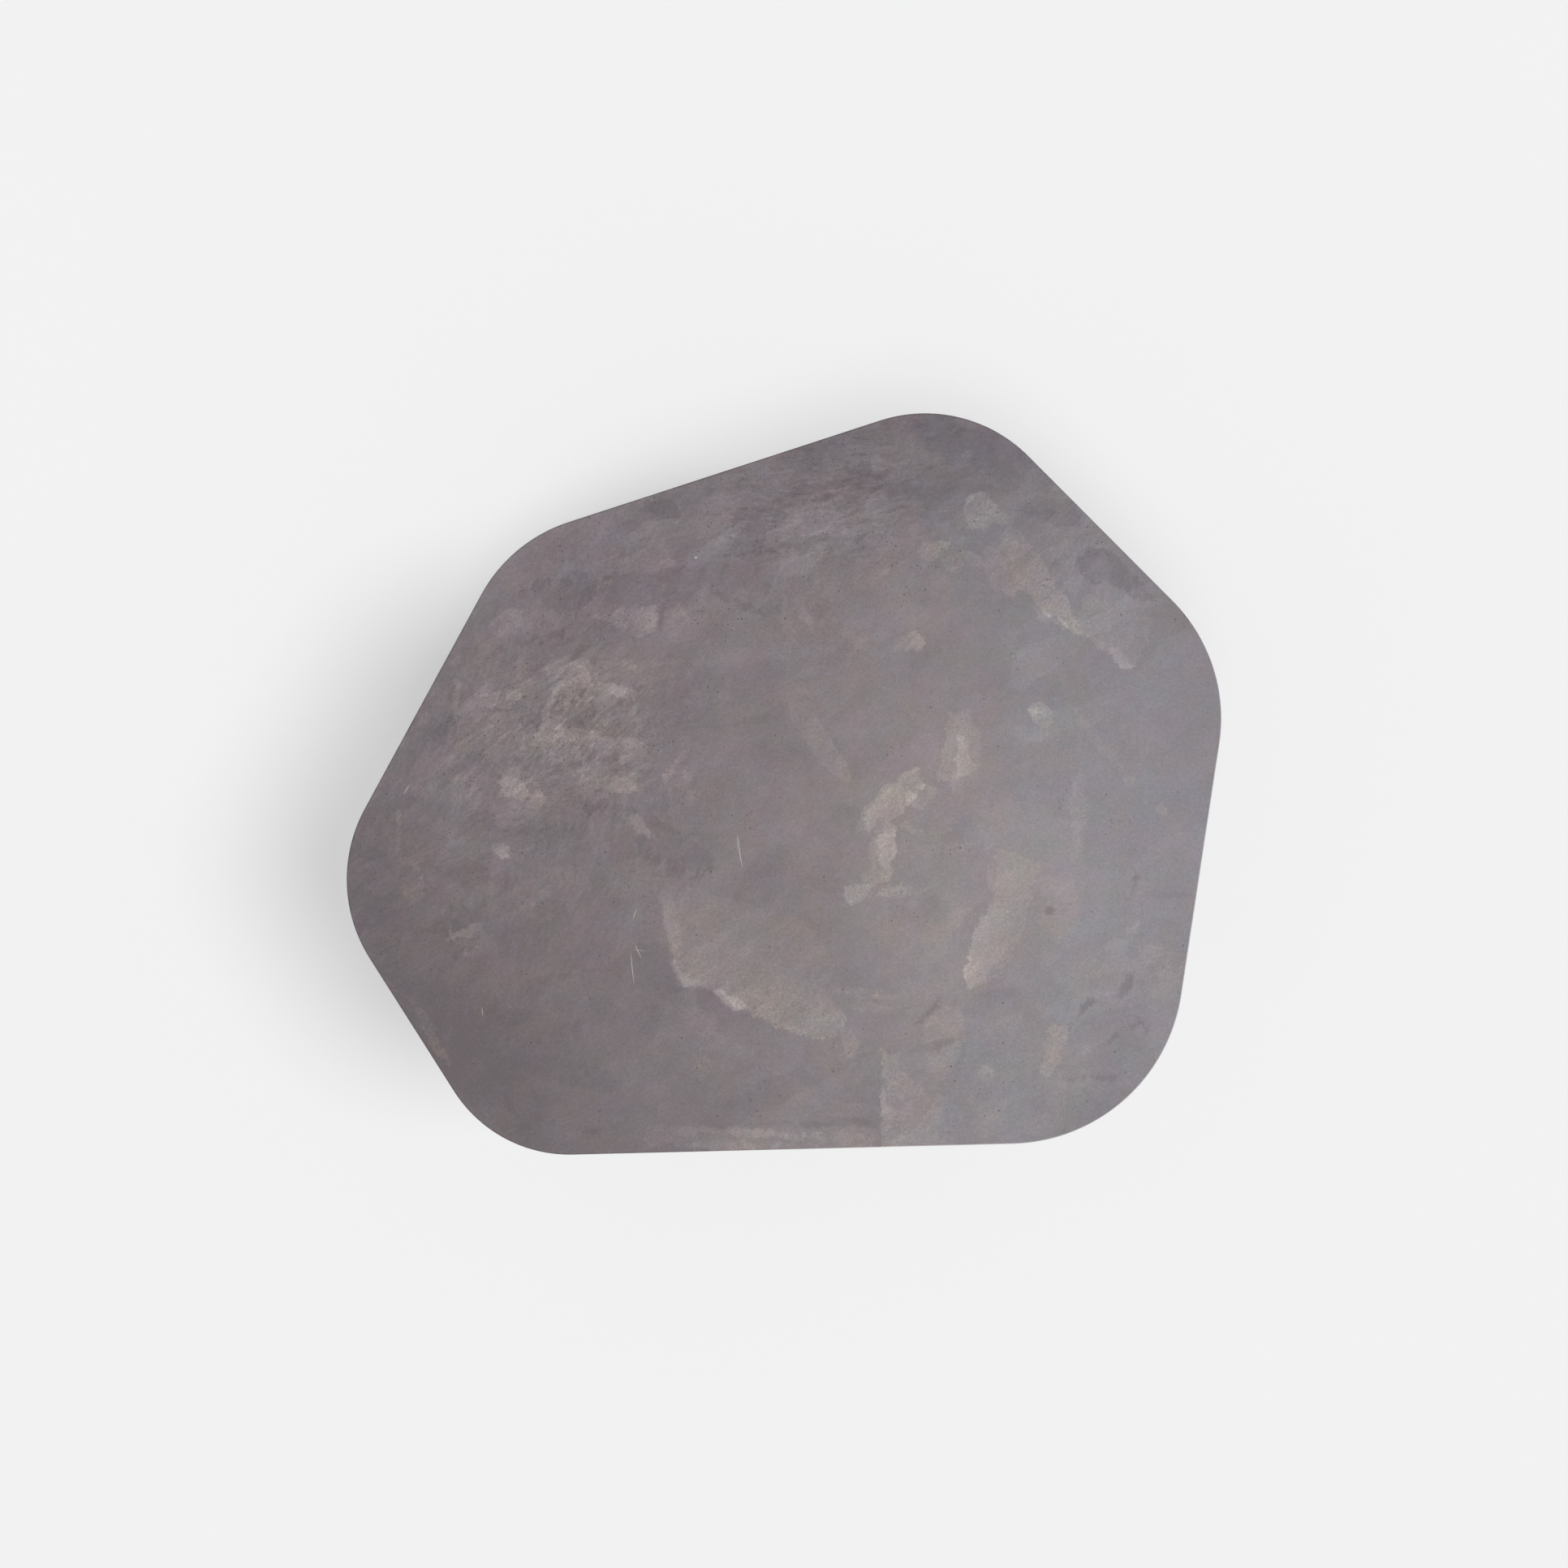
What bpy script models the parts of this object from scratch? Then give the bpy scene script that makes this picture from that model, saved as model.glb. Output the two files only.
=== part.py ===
"""Low coffee table: a flat rounded-hexagon top coated in trowelled microcement, on three stout round legs.

Units are metres, +Z is up. The origin is on the floor, under the middle of the top's bounding box.
Run with: blender --background --python part.py
"""

import math

import bmesh
import bpy
from mathutils import Vector

# ---------------------------------------------------------------- overall sizes
TOP_WIDTH = 0.900
TOP_DEPTH = 0.763
TABLE_HEIGHT = 0.400

# Sharp corners of the top before rounding, anticlockwise from the back left, as shares of the top's
# width and depth, each with its corner radius and whether a leg stands under it.
TOP_CORNERS = (
    # share of width, share of depth, radius, has a leg
    (-0.313, 0.328, 0.158, False),
    (-0.527, -0.136, 0.152, True),
    (-0.330, -0.502, 0.141, False),
    (0.429, -0.480, 0.180, True),
    (0.512, 0.167, 0.172, False),
    (0.207, 0.528, 0.150, True),
)
CORNER_SEGMENTS = 8
FITTING_ROUNDS = 30  # enough for the rounded outline to reach its sizes to well under a micrometre

# ---------------------------------------------------------------- fits
FIT = 0.0003  # gap between pieces that touch on the real table
CUT_OVERSHOOT = 0.002  # how far a cutter runs past the face that it opens

# ---------------------------------------------------------------- tabletop
TOP_THICKNESS = 0.040
COAT_THICKNESS = 0.003
COAT_ARRIS = 0.0025  # radius of the rounded upper edge of the coat
COAT_LOWER_ARRIS = 0.0015
LINER_THICKNESS = 0.001
UPPER_SHEET_SHARE = 0.5  # the core is two glued sheets of this share and the rest

# ---------------------------------------------------------------- legs
LEG_DIAMETER = 0.150
LEG_MARGIN = 0.040  # from the top's edge to the leg, at the corner above it
LEG_GROUND_GAP = 0.006  # under the leg's rim, with the levelling foot screwed right in
LEG_ARRIS = 0.0025
LEG_SEGMENTS = 36
TUBE_WALL = 0.008
PLUG_THICKNESS = 0.018
PLUG_SEGMENTS = 24

# ---------------------------------------------------------------- mounting plate and its screws
PLATE_DIAMETER = 0.124
PLATE_THICKNESS = 0.004
PLATE_SEGMENTS = 30
BOSS_DIAMETER = 0.020
BOSS_HEIGHT = 0.008
SCREW_COUNT = 4
SCREW_CIRCLE = 0.096
SCREW_SHANK = 0.0050
SCREW_HEAD = 0.0096
SCREW_HEAD_HEIGHT = 0.0026
SCREW_LENGTH = 0.019
SCREW_POINT = 0.004
SCREW_SOCKET = 0.0040
SCREW_SOCKET_DEPTH = 0.0016
SCREW_SEGMENTS = 10

# ---------------------------------------------------------------- threaded pieces
THREAD_DIAMETER = 0.010
THREAD_PITCH = 0.0015
THREAD_CHAMFER = 0.0008
ROUND_SEGMENTS = 18  # a multiple of six, for the hexagon collar
INSERT_BARREL = 0.014
INSERT_FLANGE = 0.024
INSERT_FLANGE_HEIGHT = 0.0015
HANGER_INTO_TOP = 0.013  # how far the hanger stud stands above the mounting plate's lower face
HANGER_BORE_SPARE = 0.001

# ---------------------------------------------------------------- levelling foot
FELT_THICKNESS = 0.003
FELT_DIAMETER = 0.054
BASE_DIAMETER = 0.058
BASE_RIM = 0.0025
BASE_HEIGHT = 0.008
BASE_HUB_DIAMETER = 0.026
SOCKET_DEPTH = 0.005  # how deep the stud's foot end sits in the base
STUD_END_DIAMETER = 0.013
COLLAR_ACROSS_FLATS = 0.016
COLLAR_HEIGHT = 0.0055
STUD_ABOVE_COLLAR = 0.034
FOOT_SEGMENTS = 24

# ---------------------------------------------------------------- heights worked out from the sizes above
UNDERSIDE = TABLE_HEIGHT - TOP_THICKNESS
LEG_TOP = UNDERSIDE - FIT - PLATE_THICKNESS - FIT
LEG_BOTTOM = LEG_GROUND_GAP
TOP_PLUG_LOW = LEG_TOP - PLUG_THICKNESS
PLATE_LOW = LEG_TOP + FIT
CORE_BOTTOM = UNDERSIDE + LINER_THICKNESS + FIT
CORE_TOP = TABLE_HEIGHT - COAT_THICKNESS - FIT
BASE_LOW = FELT_THICKNESS + FIT
BASE_HIGH = BASE_LOW + BASE_HEIGHT
COLLAR_LOW = BASE_HIGH + FIT
COLLAR_HIGH = COLLAR_LOW + COLLAR_HEIGHT
BOTTOM_PLUG_LOW = COLLAR_HIGH + FIT  # the collar stops against the insert when the foot is right in
TUBE_OUTER = LEG_DIAMETER / 2 - COAT_THICKNESS - FIT
TUBE_INNER = TUBE_OUTER - TUBE_WALL
PLUG_RADIUS = TUBE_INNER - FIT

# ---------------------------------------------------------------- finishes: colour, roughness, metallic
FINISHES = {
    "microcement": ((0.235, 0.208, 0.218), 0.55, 0.0),
    "fibreboard": ((0.36, 0.24, 0.14), 0.85, 0.0),
    "liner": ((0.018, 0.018, 0.019), 0.45, 0.0),
    "bent_plywood": ((0.52, 0.38, 0.23), 0.75, 0.0),
    "plywood": ((0.58, 0.42, 0.25), 0.70, 0.0),
    "black_steel": ((0.020, 0.020, 0.021), 0.40, 0.6),
    "zinc": ((0.62, 0.63, 0.64), 0.35, 1.0),
    "brass": ((0.72, 0.52, 0.22), 0.35, 1.0),
    "nylon": ((0.022, 0.022, 0.023), 0.50, 0.0),
    "felt": ((0.055, 0.052, 0.050), 0.95, 0.0),
}


# ---------------------------------------------------------------- scene and material helpers
def clear_scene():
    for obj in list(bpy.data.objects):
        bpy.data.objects.remove(obj, do_unlink=True)


def finish(name):
    """The named material, made the first time it is asked for."""
    material = bpy.data.materials.get(name)
    if material:
        return material
    colour, roughness, metallic = FINISHES[name]
    material = bpy.data.materials.new(name)
    material.use_nodes = True
    shader = material.node_tree.nodes["Principled BSDF"]
    shader.inputs["Base Color"].default_value = (*colour, 1.0)
    shader.inputs["Roughness"].default_value = roughness
    shader.inputs["Metallic"].default_value = metallic
    material.diffuse_color = (*colour, 1.0)
    return material


def object_from(name, mesh_maker, material, place=(0, 0, 0)):
    """An object whose mesh is drawn by mesh_maker(bm), with its faces pointing out."""
    bm = bmesh.new()
    mesh_maker(bm)
    bmesh.ops.recalc_face_normals(bm, faces=bm.faces[:])
    mesh = bpy.data.meshes.new(name)
    bm.to_mesh(mesh)
    bm.free()
    mesh.shade_smooth()
    mesh.set_sharp_from_angle(angle=math.radians(30))
    if material:
        mesh.materials.append(finish(material))
    obj = bpy.data.objects.new(name, mesh)
    obj.location = place
    bpy.context.scene.collection.objects.link(obj)
    return obj


def as_cutter(obj):
    obj.hide_render = True
    obj.display_type = "WIRE"
    return obj


def cut(obj, cutter):
    modifier = obj.modifiers.new("cut_" + cutter.name, "BOOLEAN")
    modifier.operation = "DIFFERENCE"
    modifier.object = cutter
    modifier.solver = "EXACT"


# ---------------------------------------------------------------- shapes
def ring(bm, points, z):
    return [bm.verts.new((x, y, z)) for x, y in points]


def bridge(bm, low, high):
    """Quads between two rings of the same number of vertices."""
    count = len(low)
    for i in range(count):
        j = (i + 1) % count
        bm.faces.new((low[i], low[j], high[j], high[i]))


def stack(bm, rings, closed_ring=False):
    """A skin over the rings in turn. It is capped at both ends, or joined end to end for a shell."""
    for low, high in zip(rings, rings[1:]):
        bridge(bm, low, high)
    if closed_ring:
        bridge(bm, rings[-1], rings[0])
    else:
        bm.faces.new(rings[0])
        bm.faces.new(rings[-1])


def circle(radius, segments, centre=(0.0, 0.0), turn=0.0):
    step = 2 * math.pi / segments
    return [
        (centre[0] + radius * math.cos(turn + i * step), centre[1] + radius * math.sin(turn + i * step))
        for i in range(segments)
    ]


def turned(bm, profile, segments, centre=(0.0, 0.0), turn=0.0):
    """A solid turned about a vertical axis, from (radius, z) points up its outer side, capped flat."""
    stack(bm, [ring(bm, circle(radius, segments, centre, turn), z) for radius, z in profile])


def turned_tube(bm, profile, segments, centre=(0.0, 0.0)):
    """A solid turned from a closed (radius, z) outline that stays off the axis."""
    rings = [ring(bm, circle(radius, segments, centre), z) for radius, z in profile]
    stack(bm, rings, closed_ring=True)


def chamfered(radius, low, high, chamfer):
    """Profile of a cylinder with chamfered ends."""
    return [(radius - chamfer, low), (radius, low + chamfer), (radius, high - chamfer), (radius - chamfer, high)]


def arris(radius, segments):
    """(inset, drop) pairs round a quarter circle, from the side up to the face."""
    steps = [math.pi / 2 * i / segments for i in range(segments + 1)]
    return [(radius * (1 - math.cos(a)), radius * (1 - math.sin(a))) for a in steps]


# ---------------------------------------------------------------- the top's outline
def fitted_arcs():
    """The top's corner arcs, centred on its bounding box.

    The sharp corners are scaled until the rounded outline has the top's width and depth.
    """
    wide, deep = TOP_WIDTH, TOP_DEPTH
    middle = Vector((0.0, 0.0))
    for _ in range(FITTING_ROUNDS):
        arcs = arcs_of([Vector((x * wide, y * deep)) - middle for x, y, _, _ in TOP_CORNERS])
        points = outline_points(arcs, 0.0)
        low = Vector((min(x for x, _ in points), min(y for _, y in points)))
        high = Vector((max(x for x, _ in points), max(y for _, y in points)))
        wide *= TOP_WIDTH / (high.x - low.x)
        deep *= TOP_DEPTH / (high.y - low.y)
        middle += (low + high) / 2
    return arcs


def arcs_of(sharp):
    """(centre, radius, first angle, swept angle) of the arc that rounds each sharp corner."""
    arcs = []
    for i, corner in enumerate(sharp):
        before = (sharp[i - 1] - corner).normalized()
        after = (sharp[(i + 1) % len(sharp)] - corner).normalized()
        radius = TOP_CORNERS[i][2]
        half = before.angle(after) / 2
        centre = corner + (before + after).normalized() * radius / math.sin(half)
        start = corner + before * radius / math.tan(half) - centre
        first = math.atan2(start.y, start.x)
        arcs.append((centre, radius, first, math.pi - 2 * half))
    return arcs


def outline_points(arcs, inset):
    """The rounded outline, moved inwards by inset."""
    points = []
    for centre, radius, first, swept in arcs:
        for k in range(CORNER_SEGMENTS + 1):
            angle = first + swept * k / CORNER_SEGMENTS
            points.append(
                (
                    centre.x + (radius - inset) * math.cos(angle),
                    centre.y + (radius - inset) * math.sin(angle),
                )
            )
    return points


ARCS = fitted_arcs()


def middle_of_top():
    """Centre of area of the rounded outline."""
    points = outline_points(ARCS, 0.0)
    area = x_sum = y_sum = 0.0
    for (x0, y0), (x1, y1) in zip(points, points[1:] + points[:1]):
        cross = x0 * y1 - x1 * y0
        area += cross / 2
        x_sum += (x0 + x1) * cross / 6
        y_sum += (y0 + y1) * cross / 6
    return Vector((x_sum / area, y_sum / area))


def leg_places():
    """Leg axes, each on its corner's bisector, LEG_MARGIN and a leg's radius inside the rounded edge."""
    places = []
    for (centre, radius, first, swept), (_, _, _, has_leg) in zip(ARCS, TOP_CORNERS):
        if has_leg:
            outward = Vector((math.cos(first + swept / 2), math.sin(first + swept / 2)))
            places.append(centre + outward * (radius - LEG_MARGIN - LEG_DIAMETER / 2))
    return places


LEG_PLACES = leg_places()


# ---------------------------------------------------------------- tabletop
def slab(bm, inset, low, high):
    stack(bm, [ring(bm, outline_points(ARCS, inset), z) for z in (low, high)])


def top_coat(bm):
    """Coat over the top's face and edge: a shallow cap, open below, with rounded arrises."""
    lower = [
        ring(bm, outline_points(ARCS, inset), UNDERSIDE + drop)
        for inset, drop in reversed(arris(COAT_LOWER_ARRIS, 3))
    ]
    upper = [
        ring(bm, outline_points(ARCS, inset), TABLE_HEIGHT - drop)
        for inset, drop in arris(COAT_ARRIS, 4)
    ]
    inner = [
        ring(bm, outline_points(ARCS, COAT_THICKNESS), z)
        for z in (TABLE_HEIGHT - COAT_THICKNESS, UNDERSIDE)
    ]
    outside = lower + upper
    for below, above in zip(outside, outside[1:]):
        bridge(bm, below, above)
    bm.faces.new(outside[-1])
    bm.faces.new(inner[0])
    bridge(bm, inner[0], inner[1])
    bridge(bm, inner[1], outside[0])


def screw_places(leg):
    """Screw axes round a leg's axis, turned so that a pair points at the middle of the top."""
    inward = middle_of_top() - leg
    turn = math.atan2(inward.y, inward.x) + math.pi / SCREW_COUNT
    return circle(SCREW_CIRCLE / 2, SCREW_COUNT, leg, turn)


def fixing_bores(low, boss_top, screw_top):
    """Drawer of the bores for every leg's central boss and screws, from low up to their two tops."""

    def draw(bm):
        boss = BOSS_DIAMETER / 2 + FIT
        shank = SCREW_SHANK / 2 + FIT
        for leg in LEG_PLACES:
            turned(bm, [(boss, low), (boss, boss_top)], ROUND_SEGMENTS, leg)
            for place in screw_places(leg):
                turned(bm, [(shank, low), (shank, screw_top)], SCREW_SEGMENTS, place)

    return draw


def build_top():
    inset = COAT_THICKNESS + FIT
    split = CORE_BOTTOM + (CORE_TOP - CORE_BOTTOM) * (1 - UPPER_SHEET_SHARE)
    object_from("top_coat", top_coat, "microcement")
    object_from("upper_core_sheet", lambda bm: slab(bm, inset, split + FIT, CORE_TOP), "fibreboard")
    lower = object_from("lower_core_sheet", lambda bm: slab(bm, inset, CORE_BOTTOM, split), "fibreboard")
    liner = object_from(
        "underside_liner", lambda bm: slab(bm, inset, UNDERSIDE, UNDERSIDE + LINER_THICKNESS), "liner"
    )
    low = UNDERSIDE - CUT_OVERSHOOT
    through = CORE_BOTTOM + CUT_OVERSHOOT
    boss_top = PLATE_LOW + max(PLATE_THICKNESS + BOSS_HEIGHT, HANGER_INTO_TOP) + HANGER_BORE_SPARE
    screw_top = PLATE_LOW + SCREW_LENGTH + FIT
    cut(lower, as_cutter(object_from("core_bores", fixing_bores(low, boss_top, screw_top), None)))
    cut(liner, as_cutter(object_from("liner_bores", fixing_bores(low, through, through), None)))


# ---------------------------------------------------------------- mounting plate and screws
def build_plate(number, leg, axis):
    """Steel disc with a threaded boss, held under the top by countersunk screws."""
    radius = PLATE_DIAMETER / 2
    high = PLATE_LOW + PLATE_THICKNESS
    boss_high = high + BOSS_HEIGHT
    boss = BOSS_DIAMETER / 2
    profile = [
        (radius, PLATE_LOW),
        (radius, high),
        (boss, high),
        (boss, boss_high - THREAD_CHAMFER),
        (boss - THREAD_CHAMFER, boss_high),
    ]
    plate = object_from(
        f"mounting_plate_{number}", lambda bm: turned(bm, profile, PLATE_SEGMENTS), "black_steel", axis
    )

    def holes(bm):
        thread = THREAD_DIAMETER / 2 + FIT
        shank = SCREW_SHANK / 2 + FIT
        head = SCREW_HEAD / 2 + FIT
        turned(bm, [(thread, PLATE_LOW - CUT_OVERSHOOT), (thread, boss_high + CUT_OVERSHOOT)], ROUND_SEGMENTS)
        for x, y in screw_places(leg):
            sink = [
                (head, PLATE_LOW - CUT_OVERSHOOT),
                (head, PLATE_LOW + FIT),
                (shank, PLATE_LOW + SCREW_HEAD_HEIGHT + FIT),
                (shank, high + CUT_OVERSHOOT),
            ]
            turned(bm, sink, SCREW_SEGMENTS, (x - leg.x, y - leg.y))

    cut(plate, as_cutter(object_from(f"plate_holes_{number}", holes, None, axis)))


def screw(bm):
    """Countersunk wood screw, point up, with a hexagon socket in its head."""
    shank = SCREW_SHANK / 2
    tip = PLATE_LOW + SCREW_LENGTH
    outer = [
        (SCREW_HEAD / 2, PLATE_LOW),
        (shank, PLATE_LOW + SCREW_HEAD_HEIGHT),
        (shank, tip - SCREW_POINT),
        (shank / 5, tip),
    ]
    socket = [(SCREW_SOCKET / 2, PLATE_LOW), (SCREW_SOCKET / 2, PLATE_LOW + SCREW_SOCKET_DEPTH)]
    rings = [ring(bm, circle(radius, SCREW_SEGMENTS), z) for radius, z in outer]
    inner = [ring(bm, circle(radius, SCREW_SEGMENTS), z) for radius, z in socket]
    for below, above in zip(rings, rings[1:]):
        bridge(bm, below, above)
    bm.faces.new(rings[-1])
    bridge(bm, rings[0], inner[0])
    bridge(bm, inner[0], inner[1])
    bm.faces.new(inner[1])


def build_screws(number, leg):
    for count, (x, y) in enumerate(screw_places(leg), start=1):
        object_from(f"plate_screw_{number}_{count}", screw, "zinc", (x, y, 0.0))


# ---------------------------------------------------------------- leg
def leg_coat(bm):
    """Microcement sleeve over the leg, rounded at its lower and upper rims."""
    outer = LEG_DIAMETER / 2
    inner = outer - COAT_THICKNESS
    low = [(outer - inset, LEG_BOTTOM + drop) for inset, drop in reversed(arris(LEG_ARRIS, 1))]
    high = [(outer - inset, LEG_TOP - drop) for inset, drop in arris(LEG_ARRIS, 1)]
    turned_tube(bm, low + high + [(inner, LEG_TOP), (inner, LEG_BOTTOM)], LEG_SEGMENTS)


def leg_tube(bm):
    profile = [(TUBE_OUTER, LEG_BOTTOM), (TUBE_OUTER, LEG_TOP), (TUBE_INNER, LEG_TOP), (TUBE_INNER, LEG_BOTTOM)]
    turned_tube(bm, profile, LEG_SEGMENTS)


def plug(low):
    """Plywood disc with a bore for an insert, whose flange is let into its lower face."""

    def draw(bm):
        barrel = INSERT_BARREL / 2 + FIT
        flange = INSERT_FLANGE / 2 + FIT
        shoulder = low + INSERT_FLANGE_HEIGHT + FIT
        outside = [(PLUG_RADIUS, low), (PLUG_RADIUS, low + PLUG_THICKNESS)]
        inside = [(barrel, low + PLUG_THICKNESS), (barrel, shoulder), (flange, shoulder), (flange, low)]
        turned_tube(bm, outside + inside, PLUG_SEGMENTS)

    return draw


def insert(low):
    """Flanged brass insert, flange down, flush with the plug's lower face."""

    def draw(bm):
        barrel = INSERT_BARREL / 2
        bore = THREAD_DIAMETER / 2 + FIT
        shoulder = low + INSERT_FLANGE_HEIGHT
        high = low + PLUG_THICKNESS - FIT
        profile = [
            (INSERT_FLANGE / 2, low),
            (INSERT_FLANGE / 2, shoulder),
            (barrel, shoulder),
            (barrel, high),
            (bore, high),
            (bore, low),
        ]
        turned_tube(bm, profile, ROUND_SEGMENTS)

    return draw


def hanger_stud(bm):
    low = TOP_PLUG_LOW
    high = PLATE_LOW + HANGER_INTO_TOP
    turned(bm, chamfered(THREAD_DIAMETER / 2, low, high, THREAD_CHAMFER), ROUND_SEGMENTS)


def build_leg(number, axis):
    object_from(f"leg_coat_{number}", leg_coat, "microcement", axis)
    object_from(f"leg_tube_{number}", leg_tube, "bent_plywood", axis)
    object_from(f"leg_top_plug_{number}", plug(TOP_PLUG_LOW), "plywood", axis)
    object_from(f"leg_bottom_plug_{number}", plug(BOTTOM_PLUG_LOW), "plywood", axis)
    object_from(f"hanger_insert_{number}", insert(TOP_PLUG_LOW), "brass", axis)
    object_from(f"foot_insert_{number}", insert(BOTTOM_PLUG_LOW), "brass", axis)
    object_from(f"hanger_stud_{number}", hanger_stud, "zinc", axis)


# ---------------------------------------------------------------- levelling foot
def foot_felt(bm):
    turned(bm, [(FELT_DIAMETER / 2, 0.0), (FELT_DIAMETER / 2, FELT_THICKNESS)], FOOT_SEGMENTS)


def foot_base(bm):
    """Moulded foot: a disc with a raised hub whose socket holds the stud's end."""
    rim = BASE_DIAMETER / 2
    hub = BASE_HUB_DIAMETER / 2
    socket = STUD_END_DIAMETER / 2 + FIT
    shoulder = BASE_HIGH - BASE_RIM
    floor = BASE_HIGH - SOCKET_DEPTH
    outer = [
        (rim - BASE_RIM / 2, BASE_LOW),
        (rim, BASE_LOW + BASE_RIM / 2),
        (rim, BASE_LOW + BASE_RIM),
        (hub, shoulder),
        (hub - BASE_RIM / 4, BASE_HIGH),
        (socket, BASE_HIGH),
        (socket, floor),
    ]
    turned(bm, outer, FOOT_SEGMENTS)


def foot_stud(bm):
    """Levelling screw: a round end in the base, a hexagon collar and the thread above it."""
    thread = THREAD_DIAMETER / 2
    end = STUD_END_DIAMETER / 2
    low = BASE_HIGH - SOCKET_DEPTH + FIT
    high = COLLAR_HIGH + STUD_ABOVE_COLLAR
    corner = COLLAR_ACROSS_FLATS / 2 / math.cos(math.pi / 6)

    def hexagon():
        """The collar's outline, with as many points as the round rings have."""
        share = ROUND_SEGMENTS // 6
        corners = [Vector(point) for point in circle(corner, 6)]
        return [
            tuple(corners[i].lerp(corners[(i + 1) % 6], k / share)) for i in range(6) for k in range(share)
        ]

    rings = [
        ring(bm, circle(end, ROUND_SEGMENTS), low),
        ring(bm, circle(end, ROUND_SEGMENTS), COLLAR_LOW),
        ring(bm, hexagon(), COLLAR_LOW),
        ring(bm, hexagon(), COLLAR_HIGH),
        ring(bm, circle(thread, ROUND_SEGMENTS), COLLAR_HIGH),
        ring(bm, circle(thread, ROUND_SEGMENTS), high - THREAD_CHAMFER),
        ring(bm, circle(thread - THREAD_CHAMFER, ROUND_SEGMENTS), high),
    ]
    stack(bm, rings)


def build_foot(number, axis):
    object_from(f"foot_felt_{number}", foot_felt, "felt", axis)
    object_from(f"foot_base_{number}", foot_base, "nylon", axis)
    object_from(f"foot_stud_{number}", foot_stud, "zinc", axis)


def main():
    clear_scene()
    build_top()
    for number, leg in enumerate(LEG_PLACES, start=1):
        axis = (leg.x, leg.y, 0.0)
        build_plate(number, leg, axis)
        build_screws(number, leg)
        build_leg(number, axis)
        build_foot(number, axis)


main()
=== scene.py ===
"""Looks of a low coffee table: a flat rounded-hexagon top and three round legs in trowelled microcement.

Units are metres, +Z is up, and every place comes from the frame or from the table's own sizes below.
"""

from __future__ import annotations

import logging
import math
from collections.abc import Sequence
from dataclasses import dataclass, field
from enum import Enum

import bmesh
import bpy
import numpy as np
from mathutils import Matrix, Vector

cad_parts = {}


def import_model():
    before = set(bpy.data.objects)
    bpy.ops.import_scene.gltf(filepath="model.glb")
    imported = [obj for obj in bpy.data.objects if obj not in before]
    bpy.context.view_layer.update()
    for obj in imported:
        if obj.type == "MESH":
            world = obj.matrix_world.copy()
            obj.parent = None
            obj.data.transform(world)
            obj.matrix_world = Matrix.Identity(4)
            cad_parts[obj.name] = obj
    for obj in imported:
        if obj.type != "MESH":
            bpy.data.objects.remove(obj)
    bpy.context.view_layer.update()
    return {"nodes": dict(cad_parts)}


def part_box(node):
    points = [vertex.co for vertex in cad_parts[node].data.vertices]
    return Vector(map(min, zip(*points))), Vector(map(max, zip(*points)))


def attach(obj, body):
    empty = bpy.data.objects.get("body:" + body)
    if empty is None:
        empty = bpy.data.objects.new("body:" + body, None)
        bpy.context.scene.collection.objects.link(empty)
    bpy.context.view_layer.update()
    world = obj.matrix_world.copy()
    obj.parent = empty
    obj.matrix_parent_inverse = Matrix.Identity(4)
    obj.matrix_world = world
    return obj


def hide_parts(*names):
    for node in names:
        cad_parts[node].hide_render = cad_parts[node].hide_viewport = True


LOG = logging.getLogger("table")

Point = tuple[float, float]
Tree = bpy.types.NodeTree
Source = object  # what feeds a socket: a value, an output, or a node, which stands for its first output
MM = 0.001


# ------------------------------------------------------------------ small helpers
def linear(code: str) -> tuple[float, float, float, float]:
    """Turns an sRGB hex colour into linear light.

    Args:
        code: the colour as "#rrggbb".

    Returns:
        Linear red, green and blue, and an alpha of one.
    """
    values = [int(code[i : i + 2], 16) / 255 for i in (1, 3, 5)]
    red, green, blue = (v / 12.92 if v <= 0.04045 else ((v + 0.055) / 1.055) ** 2.4 for v in values)
    return red, green, blue, 1.0


def fill(tree: Tree, node: bpy.types.Node, inputs: dict[str | int, Source]) -> None:
    """Fills or links a node's inputs.

    Args:
        tree: the node tree that holds the node.
        node: the node.
        inputs: what feeds each socket, by its name or number.
    """
    for key, source in inputs.items():
        if isinstance(source, bpy.types.Node):
            source = source.outputs[0]
        if isinstance(source, bpy.types.NodeSocket):
            tree.links.new(source, node.inputs[key])
        else:
            node.inputs[key].default_value = source


def add(
    tree: Tree, kind: str, inputs: dict[str | int, Source] | Sequence[Source] = (), **settings: object
) -> bpy.types.Node:
    """Adds a node with its settings and links.

    Args:
        tree: the node tree that takes the node.
        kind: the node's type without its "ShaderNode" prefix.
        inputs: what feeds its sockets, in their order or by name or number.
        settings: properties of the node by name.

    Returns:
        The new node.
    """
    node = tree.nodes.new("ShaderNode" + kind)
    for name, value in settings.items():
        setattr(node, name, value)
    fill(tree, node, inputs if isinstance(inputs, dict) else dict(enumerate(inputs)))
    return node


def new_material(name: str) -> tuple[bpy.types.Material, Tree, bpy.types.Node]:
    """Makes an empty node material.

    Args:
        name: the material's name.

    Returns:
        The material, its node tree and its Principled shader.
    """
    material = bpy.data.materials.new(name)
    material.use_nodes = True
    tree = material.node_tree
    return material, tree, tree.nodes["Principled BSDF"]


def dress(names: Sequence[str], nodes: dict[str, bpy.types.Object], material: bpy.types.Material) -> None:
    """Gives CAD nodes a material in every slot.

    Args:
        names: the nodes' names.
        nodes: the frame's nodes by name.
        material: the finish.
    """
    for name in names:
        slots = nodes[name].data.materials
        slots.clear()
        slots.append(material)
        LOG.info("%s dressed in %s", name, material.name)


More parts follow.
